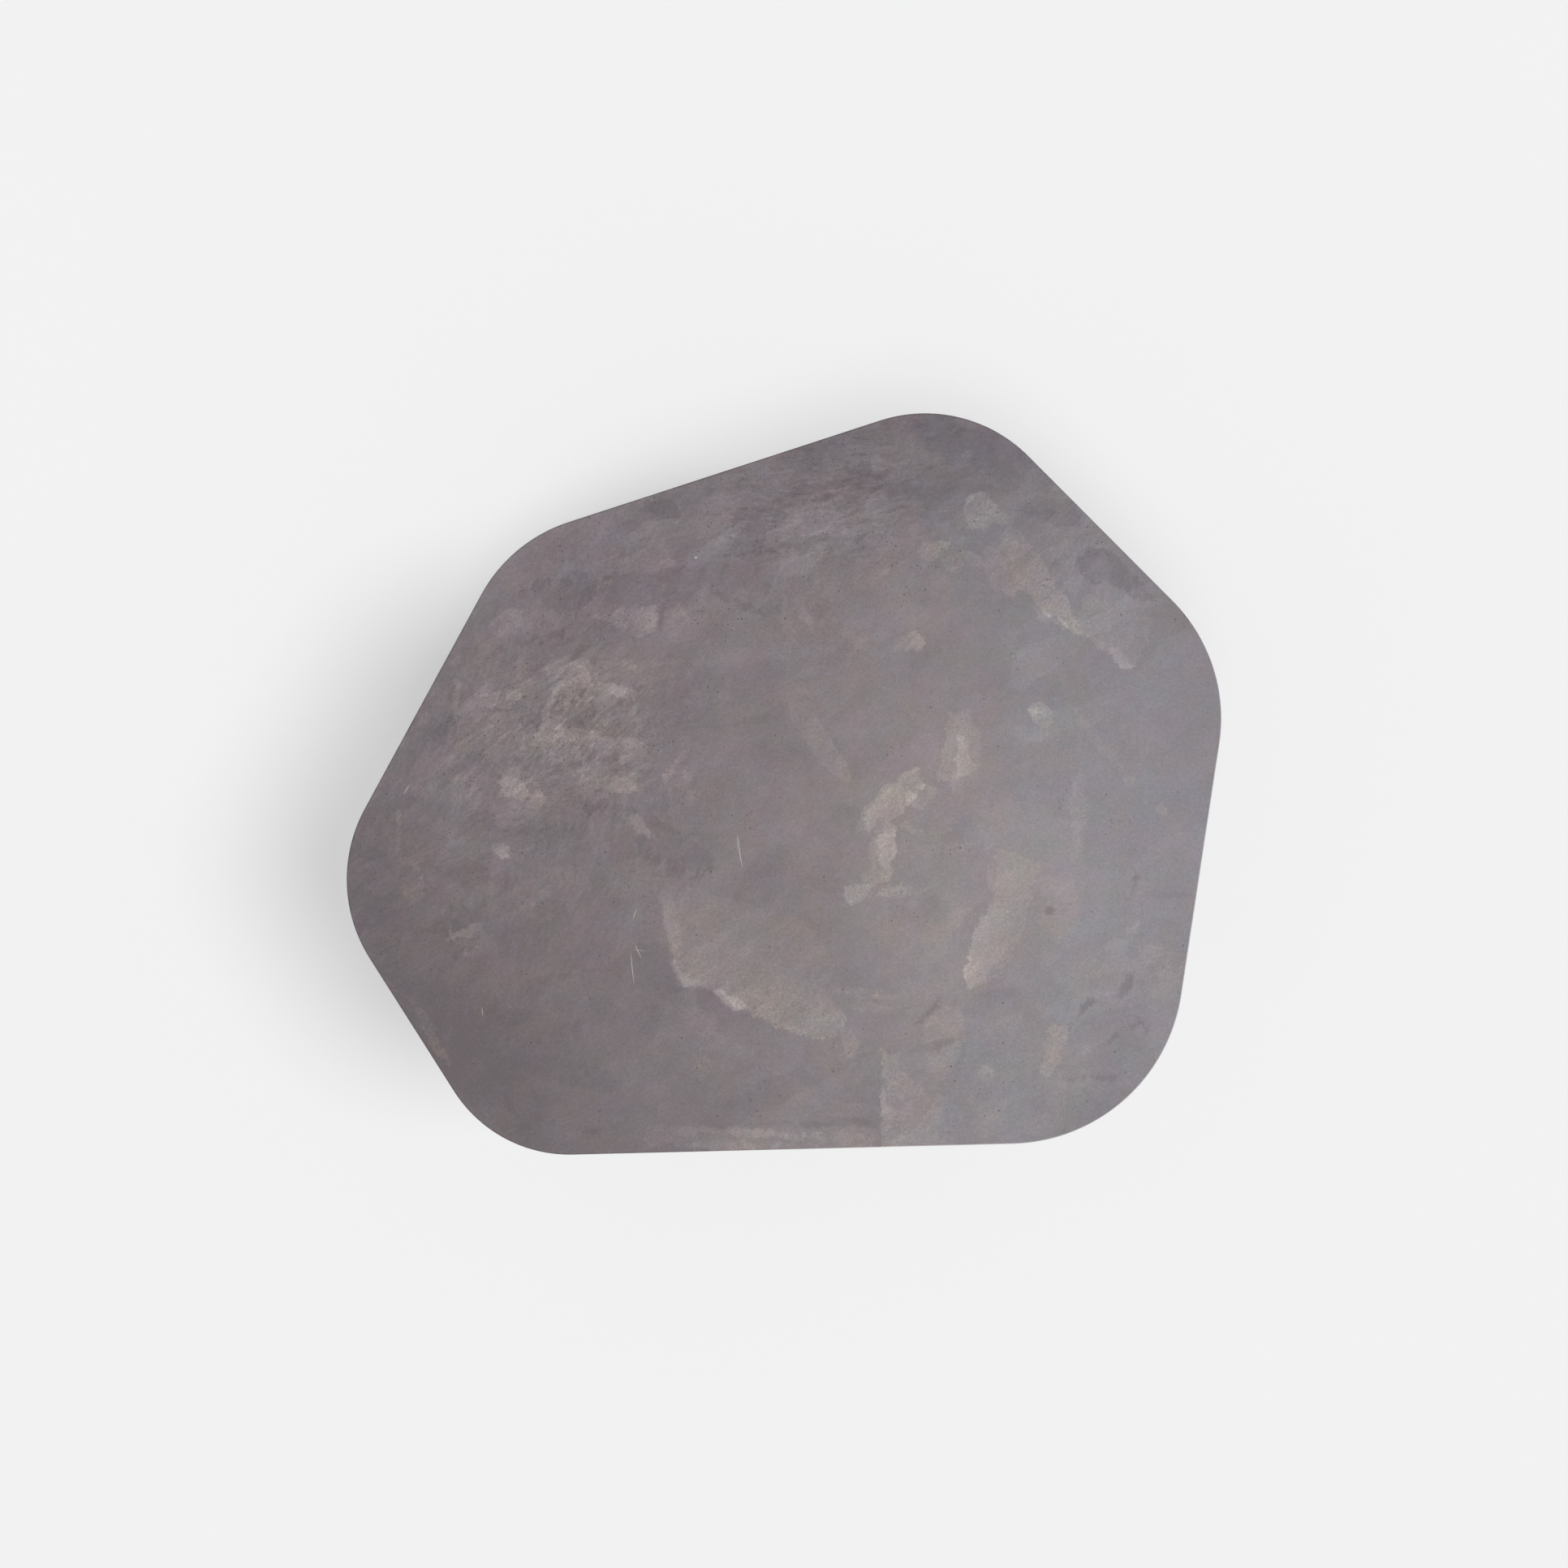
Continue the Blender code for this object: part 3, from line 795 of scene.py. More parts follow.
    def _pinholes(self, tree: Tree, colour: Source, where: Source, busy: Source) -> tuple[Source, Source]:
        """Adds pinholes, painted dark for the shade inside them and gathered in clusters, and a few white
        sand grains.

        Args:
            tree: the material's nodes.
            colour: the colour below.
            where: the coordinates.
            busy: how much more of them there are here.

        Returns:
            The colour with both, and the pinholes' mask.
        """
        chance, distance = self._cells(tree, where, self.pit_cell)
        inputs = {"Vector": where, "Scale": 1 / self.crowd_size, "Detail": 3, "Roughness": 0.6}
        crowd = add(tree, "TexNoise", inputs)
        crowd = self._sum(tree, crowd, ((busy, 0.10),))
        crowd = add(tree, "MapRange", (crowd, 0.53, 0.70, 0.0, 0.8))
        wanted = add(tree, "Math", (chance[0], crowd), operation="LESS_THAN")
        size = add(tree, "Math", (chance[1], 0.12, 0.08), operation="MULTIPLY_ADD")
        inside = add(tree, "Math", (distance, size), operation="LESS_THAN")
        pits = add(tree, "Math", (wanted, inside), operation="MULTIPLY")
        # painted shade: each pinhole is painted dark for the shade inside it
        amount = add(tree, "Math", (pits, 0.75), operation="MULTIPLY")
        colour = add(tree, "Mix", {0: amount, 6: colour, 7: linear(self.pit_shade)}, data_type="RGBA").outputs[2]
        chance, distance = self._cells(tree, where, self.sand_cell)
        wanted = add(tree, "Math", (chance[0], 1 - self.sand_share), operation="GREATER_THAN")
        inside = add(tree, "Math", (distance, 0.028), operation="LESS_THAN")
        amount = add(tree, "Math", (wanted, inside), operation="MULTIPLY")
        colour = add(tree, "Mix", {0: amount, 6: colour, 7: linear(self.sand)}, data_type="RGBA").outputs[2]
        return colour, pits

    def _stained(self, tree: Tree, colour: Source, where: Source, centre: Sequence[float]) -> Source:
        """Adds one small round stain.

        Args:
            tree: the material's nodes.
            colour: the colour below.
            where: the coordinates.
            centre: the stain's centre.

        Returns:
            The colour with the stain.
        """
        near = self._bent(tree, where, 6 * MM, 1.2 * MM)
        away = add(tree, "VectorMath", (near, centre), operation="DISTANCE").outputs["Value"]
        amount = add(tree, "MapRange", (away, 3.2 * MM, 6.2 * MM, 0.42, 0.0))
        return add(tree, "Mix", {0: amount, 6: colour, 7: linear(self.stain)}, data_type="RGBA").outputs[2]


@dataclass(frozen=True)
class Scratch:
    """A pale hairline scratch on the face: middle, length, angle in degrees, and how far it bows."""

    place: Point
    length: float
    angle: float
    bow: float = 0.0
    strength: float = 0.6
    width: float = 0.5 * MM
    dust: str = "#cfc8c2"

    def draw(self, tree: Tree, colour: Source, where: Source) -> Source:
        """Draws the scratch over a colour.

        Args:
            tree: the material's nodes.
            colour: the colour below.
            where: object coordinates.

        Returns:
            The colour with the scratch.
        """
        inputs = {
            "Vector": where,
            "Location": (*self.place, 0.0),
            "Rotation": (0, 0, math.radians(self.angle)),
            "Scale": (self.length / 2, self.width, 1.0),
        }
        local = add(tree, "Mapping", inputs, vector_type="TEXTURE")
        along, across, _ = add(tree, "SeparateXYZ", (local,)).outputs
        arch = add(tree, "Math", (along, along), operation="MULTIPLY")
        off = add(tree, "Math", (arch, self.bow / self.width, across), operation="MULTIPLY_ADD")
        off = add(tree, "Math", (off,), operation="ABSOLUTE")
        line = add(tree, "Math", (off, 1.0), operation="LESS_THAN")
        fade = (arch, -self.strength, self.strength)
        taper = add(tree, "Math", fade, operation="MULTIPLY_ADD", use_clamp=True)
        amount = add(tree, "Math", (line, taper), operation="MULTIPLY")
        return add(tree, "Mix", {0: amount, 6: colour, 7: linear(self.dust)}, data_type="RGBA").outputs[2]


@dataclass(frozen=True)
class Board:
    """Raw board: fibreboard where its ply is zero, plywood where the ply has a thickness."""

    name: str
    pale: str
    dark: str
    ply: float = 0.0
    bundle: float = 9.6 * MM  # the widest bundle of fibres
    stretch: float = 1.0

    def build(self) -> bpy.types.Material:
        """Builds the material.

        Returns:
            The material.
        """
        material, tree, shader = new_material(self.name)
        where = add(tree, "TexCoord").outputs["Object"]
        drawn = add(tree, "Mapping", {"Vector": where, "Scale": (1 / self.stretch, 1.0, 1.0)})
        inputs = {"Vector": drawn, "Scale": 1 / self.bundle, "Detail": 8.0, "Roughness": 0.7}
        fibre = add(tree, "TexNoise", inputs)
        amount = fibre
        if self.ply:
            up = add(tree, "SeparateXYZ", (where,)).outputs[2]
            layer = add(tree, "Math", (up, self.ply), operation="PINGPONG")
            layer = add(tree, "Math", (layer, self.ply / 2), operation="GREATER_THAN")
            amount = add(tree, "Math", (layer, 0.22, fibre), operation="MULTIPLY_ADD")
        ramp = add(tree, "ValToRGB", (amount,))
        for stop, place, code in zip(ramp.color_ramp.elements, (0.3, 0.75), (self.dark, self.pale)):
            stop.position, stop.color = place, linear(code)
        rough = add(tree, "Math", (fibre, 0.2, 0.65), operation="MULTIPLY_ADD")
        bump = add(tree, "Bump", {"Height": fibre, "Strength": 0.5, "Distance": 0.2 * MM})
        fill(tree, shader, {"Base Color": ramp, "Roughness": rough, "Normal": bump})
        return material


@dataclass(frozen=True)
class Moulded:
    """A plain manufactured surface with a fine texture: laminate, powder coat, moulded nylon or metal."""

    name: str
    colour: str
    worn: str
    roughness: float
    metallic: float = 0.0
    pitch: float = 0.8 * MM
    relief: float = 0.02 * MM
    spread: float = 0.15  # of the roughness, from the least worn to the most
    wear_size: float = 20 * MM
    stretch: tuple[float, float, float] = (1.0, 1.0, 1.0)

    def build(self) -> bpy.types.Material:
        """Builds the material.

        Returns:
            The material.
        """
        material, tree, shader = new_material(self.name)
        where = add(tree, "TexCoord").outputs["Object"]
        drawn = add(tree, "Mapping", {"Vector": where, "Scale": self.stretch})
        fine = add(tree, "TexNoise", {"Vector": drawn, "Scale": 1 / self.pitch, "Detail": 3.0})
        inputs = {"Vector": where, "Scale": 1 / self.wear_size, "Detail": 6.0, "Roughness": 0.7}
        wear = add(tree, "TexNoise", inputs)
        colours = {0: wear, 6: linear(self.colour), 7: linear(self.worn)}
        colour = add(tree, "Mix", colours, data_type="RGBA").outputs[2]
        worn = (wear, self.spread * 2, self.roughness - self.spread)
        rough = add(tree, "Math", worn, operation="MULTIPLY_ADD", use_clamp=True)
        bump = add(tree, "Bump", {"Height": fine, "Strength": 0.6, "Distance": self.relief})
        inputs = {"Base Color": colour, "Roughness": rough, "Metallic": self.metallic, "Normal": bump}
        fill(tree, shader, inputs)
        return material


@dataclass(frozen=True)
class Felt:
    """Pressed wool felt: matted fibres, soft and without gloss."""

    name: str = "felt"
    colour: str = "#46423f"
    fluff: str = "#6d6761"
    fibre: float = 0.9 * MM

    def build(self) -> bpy.types.Material:
        """Builds the material.

        Returns:
            The material.
        """
        material, tree, shader = new_material(self.name)
        where = add(tree, "TexCoord").outputs["Object"]
        fineness = {"Detail": 6.0, "Roughness": 0.75, "Distortion": 1.5}
        matted = add(tree, "TexNoise", {"Vector": where, "Scale": 1 / self.fibre, **fineness})
        colours = {0: matted, 6: linear(self.colour), 7: linear(self.fluff)}
        colour = add(tree, "Mix", colours, data_type="RGBA").outputs[2]
        bump = add(tree, "Bump", {"Height": matted, "Strength": 0.9, "Distance": 0.4 * MM})
        inputs = {"Base Color": colour, "Roughness": 0.95, "Sheen Weight": 0.3, "Normal": bump}
        fill(tree, shader, inputs)
        return material


# ------------------------------------------------------------------ meshes by extrusion
def quarter(radius: float, steps: int) -> list[tuple[float, float]]:
    """Gives (inset, drop) pairs round a quarter circle, from the side up to the face."""
    angles = [math.pi / 2 * k / steps for k in range(steps + 1)]
    return [(radius * (1 - math.cos(a)), radius * (1 - math.sin(a))) for a in angles]


def extrude_profile(obj: bpy.types.Object, start: float, profile: Sequence[tuple[float, float]]) -> None:
    """Extrudes a mesh's open edge through a profile. The edge's vertices carry their outward direction.

    Args:
        obj: the object, in edit mode, with its open edge selected.
        start: the inset of that edge from the outline.
        profile: the (inset, height) of each new ring.
    """
    inset = start
    for to_inset, to_height in profile:
        bpy.ops.mesh.extrude_edges_move()
        bm = bmesh.from_edit_mesh(obj.data)
        outward = bm.verts.layers.float_vector["outward"]
        for vertex in bm.verts:
            if vertex.select:
                way = vertex[outward]
                vertex.co.x -= way.x * (to_inset - inset)
                vertex.co.y -= way.y * (to_inset - inset)
                vertex.co.z = to_height
        bmesh.update_edit_mesh(obj.data)
        inset = to_inset


def finish_piece(obj: bpy.types.Object, material: bpy.types.Material) -> None:
    """Smooths a piece's shading, drops its working attribute and gives it its material."""
    mesh = obj.data
    mesh.attributes.remove(mesh.attributes["outward"])
    mesh.shade_smooth()
    mesh.materials.clear()
    mesh.materials.append(material)


# ------------------------------------------------------------------ tabletop
BROAD, BRIGHT, DARK = Layer

TOP_PATCHES: tuple[Patch, ...] = (
    # the hue drifts from rose on the left to blue grey on the right
    Patch(None, (
        (0.150, 0.400), (0.130, 0.300), (0.170, 0.200), (0.215, 0.100), (0.235, 0.000), (0.275, -0.100),
        (0.240, -0.190), (0.170, -0.280), (0.150, -0.400), (0.480, -0.400), (0.480, 0.400),
    ), (0.0, 0.0), 1.0, (-2.5, 0.7)),
    Patch(None, (
        (-0.420, 0.000), (-0.250, 0.250), (0.000, 0.220), (0.140, 0.180), (0.180, 0.000),
        (0.050, -0.120), (-0.050, -0.250), (-0.250, -0.300), (-0.420, -0.150),
    ), (0.0, 0.0), 1.0, (0.9, 0.0)),
    # the long speckled wedge towards the back right, crisp along its lower left side
    Patch(BROAD, (
        (0.185, 0.294), (0.198, 0.298), (0.212, 0.290), (0.228, 0.280), (0.240, 0.266), (0.228, 0.264),
        (0.214, 0.270), (0.204, 0.258), (0.192, 0.262), (0.190, 0.278),
    ), (0.07, -0.06), 1.3, (1.8, -0.8), 0.3),
    Patch(BROAD, (
        (0.230, 0.266), (0.246, 0.262), (0.264, 0.236), (0.279, 0.212), (0.292, 0.186), (0.304, 0.166),
        (0.322, 0.143), (0.300, 0.156), (0.278, 0.170), (0.252, 0.188), (0.236, 0.203), (0.222, 0.216),
        (0.218, 0.240),
    ), (-0.10, 0.22), 1.35, (4.0, -1.6), 0.3),
    Patch(BROAD, (
        (0.212, 0.250), (0.236, 0.240), (0.246, 0.212), (0.235, 0.192), (0.212, 0.200), (0.204, 0.226),
    ), (-0.02, 0.09), 0.7, (2.6, -1.4)),
    Patch(BROAD, (
        (0.314, 0.200), (0.330, 0.192), (0.352, 0.182), (0.378, 0.172), (0.374, 0.146), (0.360, 0.121),
        (0.350, 0.119), (0.329, 0.139), (0.303, 0.155), (0.298, 0.176),
    ), (0.045, 0.075), 0.65, (1.0, -0.4), 0.3),
    Patch(BRIGHT, (
        (0.249, 0.190), (0.262, 0.184), (0.280, 0.172), (0.291, 0.164), (0.288, 0.157), (0.268, 0.169),
        (0.250, 0.181),
    ), (0.0, 0.07), 0.42, (1.0, 1.2), 0.3),
    Patch(BRIGHT, (
        (0.301, 0.160), (0.318, 0.151), (0.333, 0.141), (0.353, 0.126), (0.362, 0.121), (0.350, 0.119),
        (0.328, 0.136), (0.303, 0.154),
    ), (0.02, 0.05), 0.5, (0.8, 0.6), 0.4),
    Patch(DARK, (
        (0.300, 0.230), (0.318, 0.242), (0.338, 0.236), (0.352, 0.222), (0.372, 0.204), (0.384, 0.188),
        (0.362, 0.192), (0.344, 0.206), (0.322, 0.206), (0.304, 0.214),
    ), (0.0, 0.0), 0.95, (-0.3, 1.2)),
    Patch(DARK, (
        (0.236, 0.282), (0.250, 0.296), (0.300, 0.292), (0.306, 0.262), (0.286, 0.262), (0.262, 0.272),
        (0.246, 0.276),
    ), (0.0, 0.05), 0.8, (-0.1, 1.4)),
    # the large pale patch left of the middle, with two bright ends
    Patch(BROAD, (
        (-0.124, -0.104), (-0.100, -0.100), (-0.050, -0.120), (-0.010, -0.126), (0.040, -0.150),
        (0.052, -0.188), (0.044, -0.214), (0.068, -0.240), (0.052, -0.264), (0.030, -0.262),
        (0.000, -0.250), (-0.030, -0.240), (-0.052, -0.226), (-0.066, -0.213), (-0.084, -0.206),
        (-0.103, -0.205), (-0.113, -0.186), (-0.120, -0.160), (-0.126, -0.135),
    ), (0.06, 0.12), 1.15, (0.3, -1.6), 0.2),
    Patch(BRIGHT, (
        (-0.118, -0.179), (-0.109, -0.182), (-0.101, -0.196), (-0.088, -0.201), (-0.093, -0.212),
        (-0.112, -0.202),
    ), (0.035, 0.01), 0.75, (0.0, 0.0), 0.3),
    Patch(BRIGHT, (
        (-0.073, -0.209), (-0.061, -0.210), (-0.046, -0.220), (-0.036, -0.232), (-0.052, -0.231),
        (-0.066, -0.220),
    ), (0.03, 0.03), 1.0, (0.0, 0.0), 0.3),
    Patch(BRIGHT, (
        (-0.134, -0.106), (-0.116, -0.112), (-0.106, -0.132), (-0.104, -0.165), (-0.114, -0.168),
        (-0.122, -0.138),
    ), (0.05, 0.02), 0.4, (0.0, 0.0), 0.3),
    Patch(DARK, (
        (-0.088, -0.212), (-0.068, -0.216), (-0.052, -0.232), (-0.020, -0.244), (0.010, -0.256),
        (-0.020, -0.266), (-0.070, -0.254), (-0.090, -0.234),
    ), (0.0, -0.05), 0.8, (-0.4, 0.5)),
    Patch(DARK, (
        (-0.150, -0.130), (-0.130, -0.128), (-0.118, -0.186), (-0.104, -0.212), (-0.128, -0.222),
        (-0.155, -0.190),
    ), (-0.06, 0.0), 0.6, (-1.0, 0.6)),
    # the leaning pale stroke right of the middle
    Patch(BROAD, (
        (0.185, -0.199), (0.193, -0.166), (0.201, -0.140), (0.216, -0.120), (0.206, -0.104),
        (0.210, -0.080), (0.222, -0.066), (0.246, -0.072), (0.262, -0.084), (0.256, -0.110),
        (0.248, -0.142), (0.238, -0.176), (0.220, -0.196), (0.190, -0.211),
    ), (0.0, 0.0), 0.52, (0.9, -0.4), 0.2),
    Patch(BRIGHT, (
        (0.185, -0.199), (0.193, -0.166), (0.201, -0.140), (0.220, -0.118), (0.238, -0.122),
        (0.238, -0.150), (0.226, -0.180), (0.208, -0.197), (0.189, -0.210),
    ), (0.055, -0.005), 0.60, (0.9, 0.4), 0.4),
    Patch(BROAD, (
        (0.263, -0.092), (0.298, -0.098), (0.303, -0.140), (0.284, -0.158), (0.262, -0.152),
    ), (0.0, 0.0), 0.28, (2.2, -1.6)),
    # the chips round the middle
    Patch(BRIGHT, (
        (0.178, 0.049), (0.186, 0.042), (0.191, 0.030), (0.200, 0.018), (0.186, 0.006), (0.177, 0.004),
        (0.176, 0.022),
    ), (0.05, 0.0), 0.62, (0.6, 0.2), 0.3),
    Patch(BROAD, (
        (0.168, 0.072), (0.190, 0.080), (0.204, 0.040), (0.202, 0.000), (0.178, -0.006), (0.156, 0.008),
        (0.164, 0.040),
    ), (0.07, 0.0), 0.95, (0.3, -0.9)),
    Patch(BRIGHT, (
        (0.082, -0.047), (0.090, -0.046), (0.112, -0.020), (0.120, -0.006), (0.110, -0.001),
        (0.098, -0.012), (0.086, -0.030),
    ), (0.04, 0.0), 0.75, (0.3, -0.9), 0.4),
    Patch(BRIGHT, (
        (0.128, -0.010), (0.138, -0.016), (0.146, 0.002), (0.158, -0.008), (0.152, -0.018),
        (0.142, -0.026), (0.132, -0.022), (0.126, -0.016),
    ), (0.0, 0.0), 0.4, (0.3, -0.9), 0.3),
    Patch(BRIGHT, (
        (0.096, -0.050), (0.114, -0.050), (0.114, -0.070), (0.104, -0.088), (0.096, -0.080),
    ), (0.05, 0.0), 0.6, (0.4, -0.6), 0.3),
    Patch(BRIGHT, (
        (0.061, -0.107), (0.074, -0.101), (0.087, -0.099), (0.095, -0.103), (0.092, -0.112),
        (0.083, -0.118), (0.072, -0.123), (0.061, -0.118),
    ), (0.06, 0.03), 1.0, (0.3, 0.2), 0.4),
    # the mottled cluster to the left, with pale ragged rims
    Patch(BROAD, (
        (-0.244, 0.118), (-0.226, 0.130), (-0.204, 0.118), (-0.196, 0.100), (-0.180, 0.104),
        (-0.156, 0.094), (-0.153, 0.070), (-0.150, 0.050), (-0.134, 0.026), (-0.142, 0.006),
        (-0.176, 0.008), (-0.205, 0.002), (-0.232, 0.020), (-0.266, 0.042), (-0.252, 0.058),
        (-0.240, 0.088),
    ), (0.22, -0.24), 0.7, (0.4, -1.6), 0.15),
    Patch(DARK, (
        (-0.236, 0.078), (-0.222, 0.074), (-0.204, 0.066), (-0.186, 0.084), (-0.168, 0.084),
        (-0.166, 0.062), (-0.184, 0.054), (-0.214, 0.058), (-0.240, 0.062),
    ), (0.0, 0.0), 0.9, (-0.5, 1.0)),
    Patch(BROAD, (
        (-0.300, 0.004), (-0.274, 0.016), (-0.252, 0.004), (-0.244, -0.026), (-0.262, -0.036),
        (-0.284, -0.036), (-0.288, -0.014),
    ), (0.0, -0.08), 0.8, (0.7, -1.3), 0.3),
    # two round pale ends above the cluster
    Patch(BROAD, (
        (-0.172, 0.172), (-0.150, 0.182), (-0.132, 0.181), (-0.127, 0.170), (-0.132, 0.156),
        (-0.150, 0.152), (-0.162, 0.160),
    ), (-0.06, 0.0), 1.1, (0.3, -1.2), 0.3),
    Patch(BROAD, (
        (-0.122, 0.180), (-0.106, 0.185), (-0.095, 0.172), (-0.102, 0.158), (-0.116, 0.150),
        (-0.126, 0.158),
    ), (0.0, -0.05), 1.0, (0.3, -1.2), 0.3),
    # the corner mark by the left edge
    Patch(BROAD, (
        (-0.336, -0.150), (-0.312, -0.146), (-0.298, -0.160), (-0.308, -0.184), (-0.326, -0.174),
    ), (0.05, -0.02), 0.6, (0.3, -0.4), 0.4),
    # the steps where two passes meet, pale on their right
    Patch(BROAD, (
        (0.002, 0.300), (-0.002, 0.200), (0.004, 0.080), (0.100, 0.060), (0.140, 0.120), (0.130, 0.280),
    ), (0.16, 0.0), 0.35, (0.0, -0.3)),
    Patch(BROAD, (
        (0.104, -0.272), (0.103, -0.300), (0.099, -0.350), (0.101, -0.380), (0.200, -0.380),
        (0.176, -0.346), (0.150, -0.316), (0.128, -0.300),
    ), (0.09, 0.0), 0.85, (0.4, -1.0), 0.3),
    Patch(BRIGHT, (
        (0.100, -0.310), (0.106, -0.326), (0.118, -0.338), (0.112, -0.346), (0.100, -0.348),
    ), (0.03, 0.0), 0.5, (0.3, -0.7), 0.3),
    Patch(DARK, (
        (0.020, -0.262), (0.060, -0.284), (0.098, -0.268), (0.099, -0.330), (0.040, -0.330),
        (0.010, -0.300),
    ), (-0.12, 0.0), 0.5, (0.0, 0.0)),
    Patch(BROAD, (
        (0.056, -0.252), (0.070, -0.250), (0.078, -0.266), (0.070, -0.281), (0.060, -0.270),
    ), (0.0, 0.06), 0.8, (1.6, -1.6), 0.5),
    Patch(BROAD, (
        (0.276, -0.250), (0.290, -0.248), (0.286, -0.272), (0.276, -0.300), (0.263, -0.298),
        (0.268, -0.272),
    ), (0.0, 0.0), 0.75, (2.4, -1.6), 0.3),
    Patch(BROAD, (
        (0.150, -0.232), (0.176, -0.228), (0.190, -0.250), (0.176, -0.300), (0.150, -0.302),
        (0.140, -0.270),
    ), (0.0, -0.10), 0.6, (0.4, -1.8)),
    # streaks along the front edge
    Patch(BROAD, (
        (-0.140, -0.348), (0.090, -0.352), (0.092, -0.376), (-0.060, -0.378), (-0.140, -0.368),
    ), (0.0, 0.05), 0.6, (0.4, -1.0), 0.3),
    # darker, mauve passes towards the back
    Patch(DARK, (
        (-0.152, 0.278), (-0.140, 0.292), (-0.110, 0.288), (-0.104, 0.272), (-0.128, 0.274),
    ), (0.0, 0.0), 0.9, (-0.2, 0.8)),
    Patch(DARK, (
        (0.060, 0.322), (0.150, 0.310), (0.220, 0.306), (0.170, 0.290), (0.110, 0.292), (0.066, 0.300),
    ), (0.0, 0.05), 0.6, (0.0, 0.8)),
    Patch(DARK, (
        (0.130, 0.376), (0.200, 0.364), (0.220, 0.330), (0.196, 0.318), (0.150, 0.340),
    ), (0.0, 0.0), 0.5, (0.0, 1.0)),
)

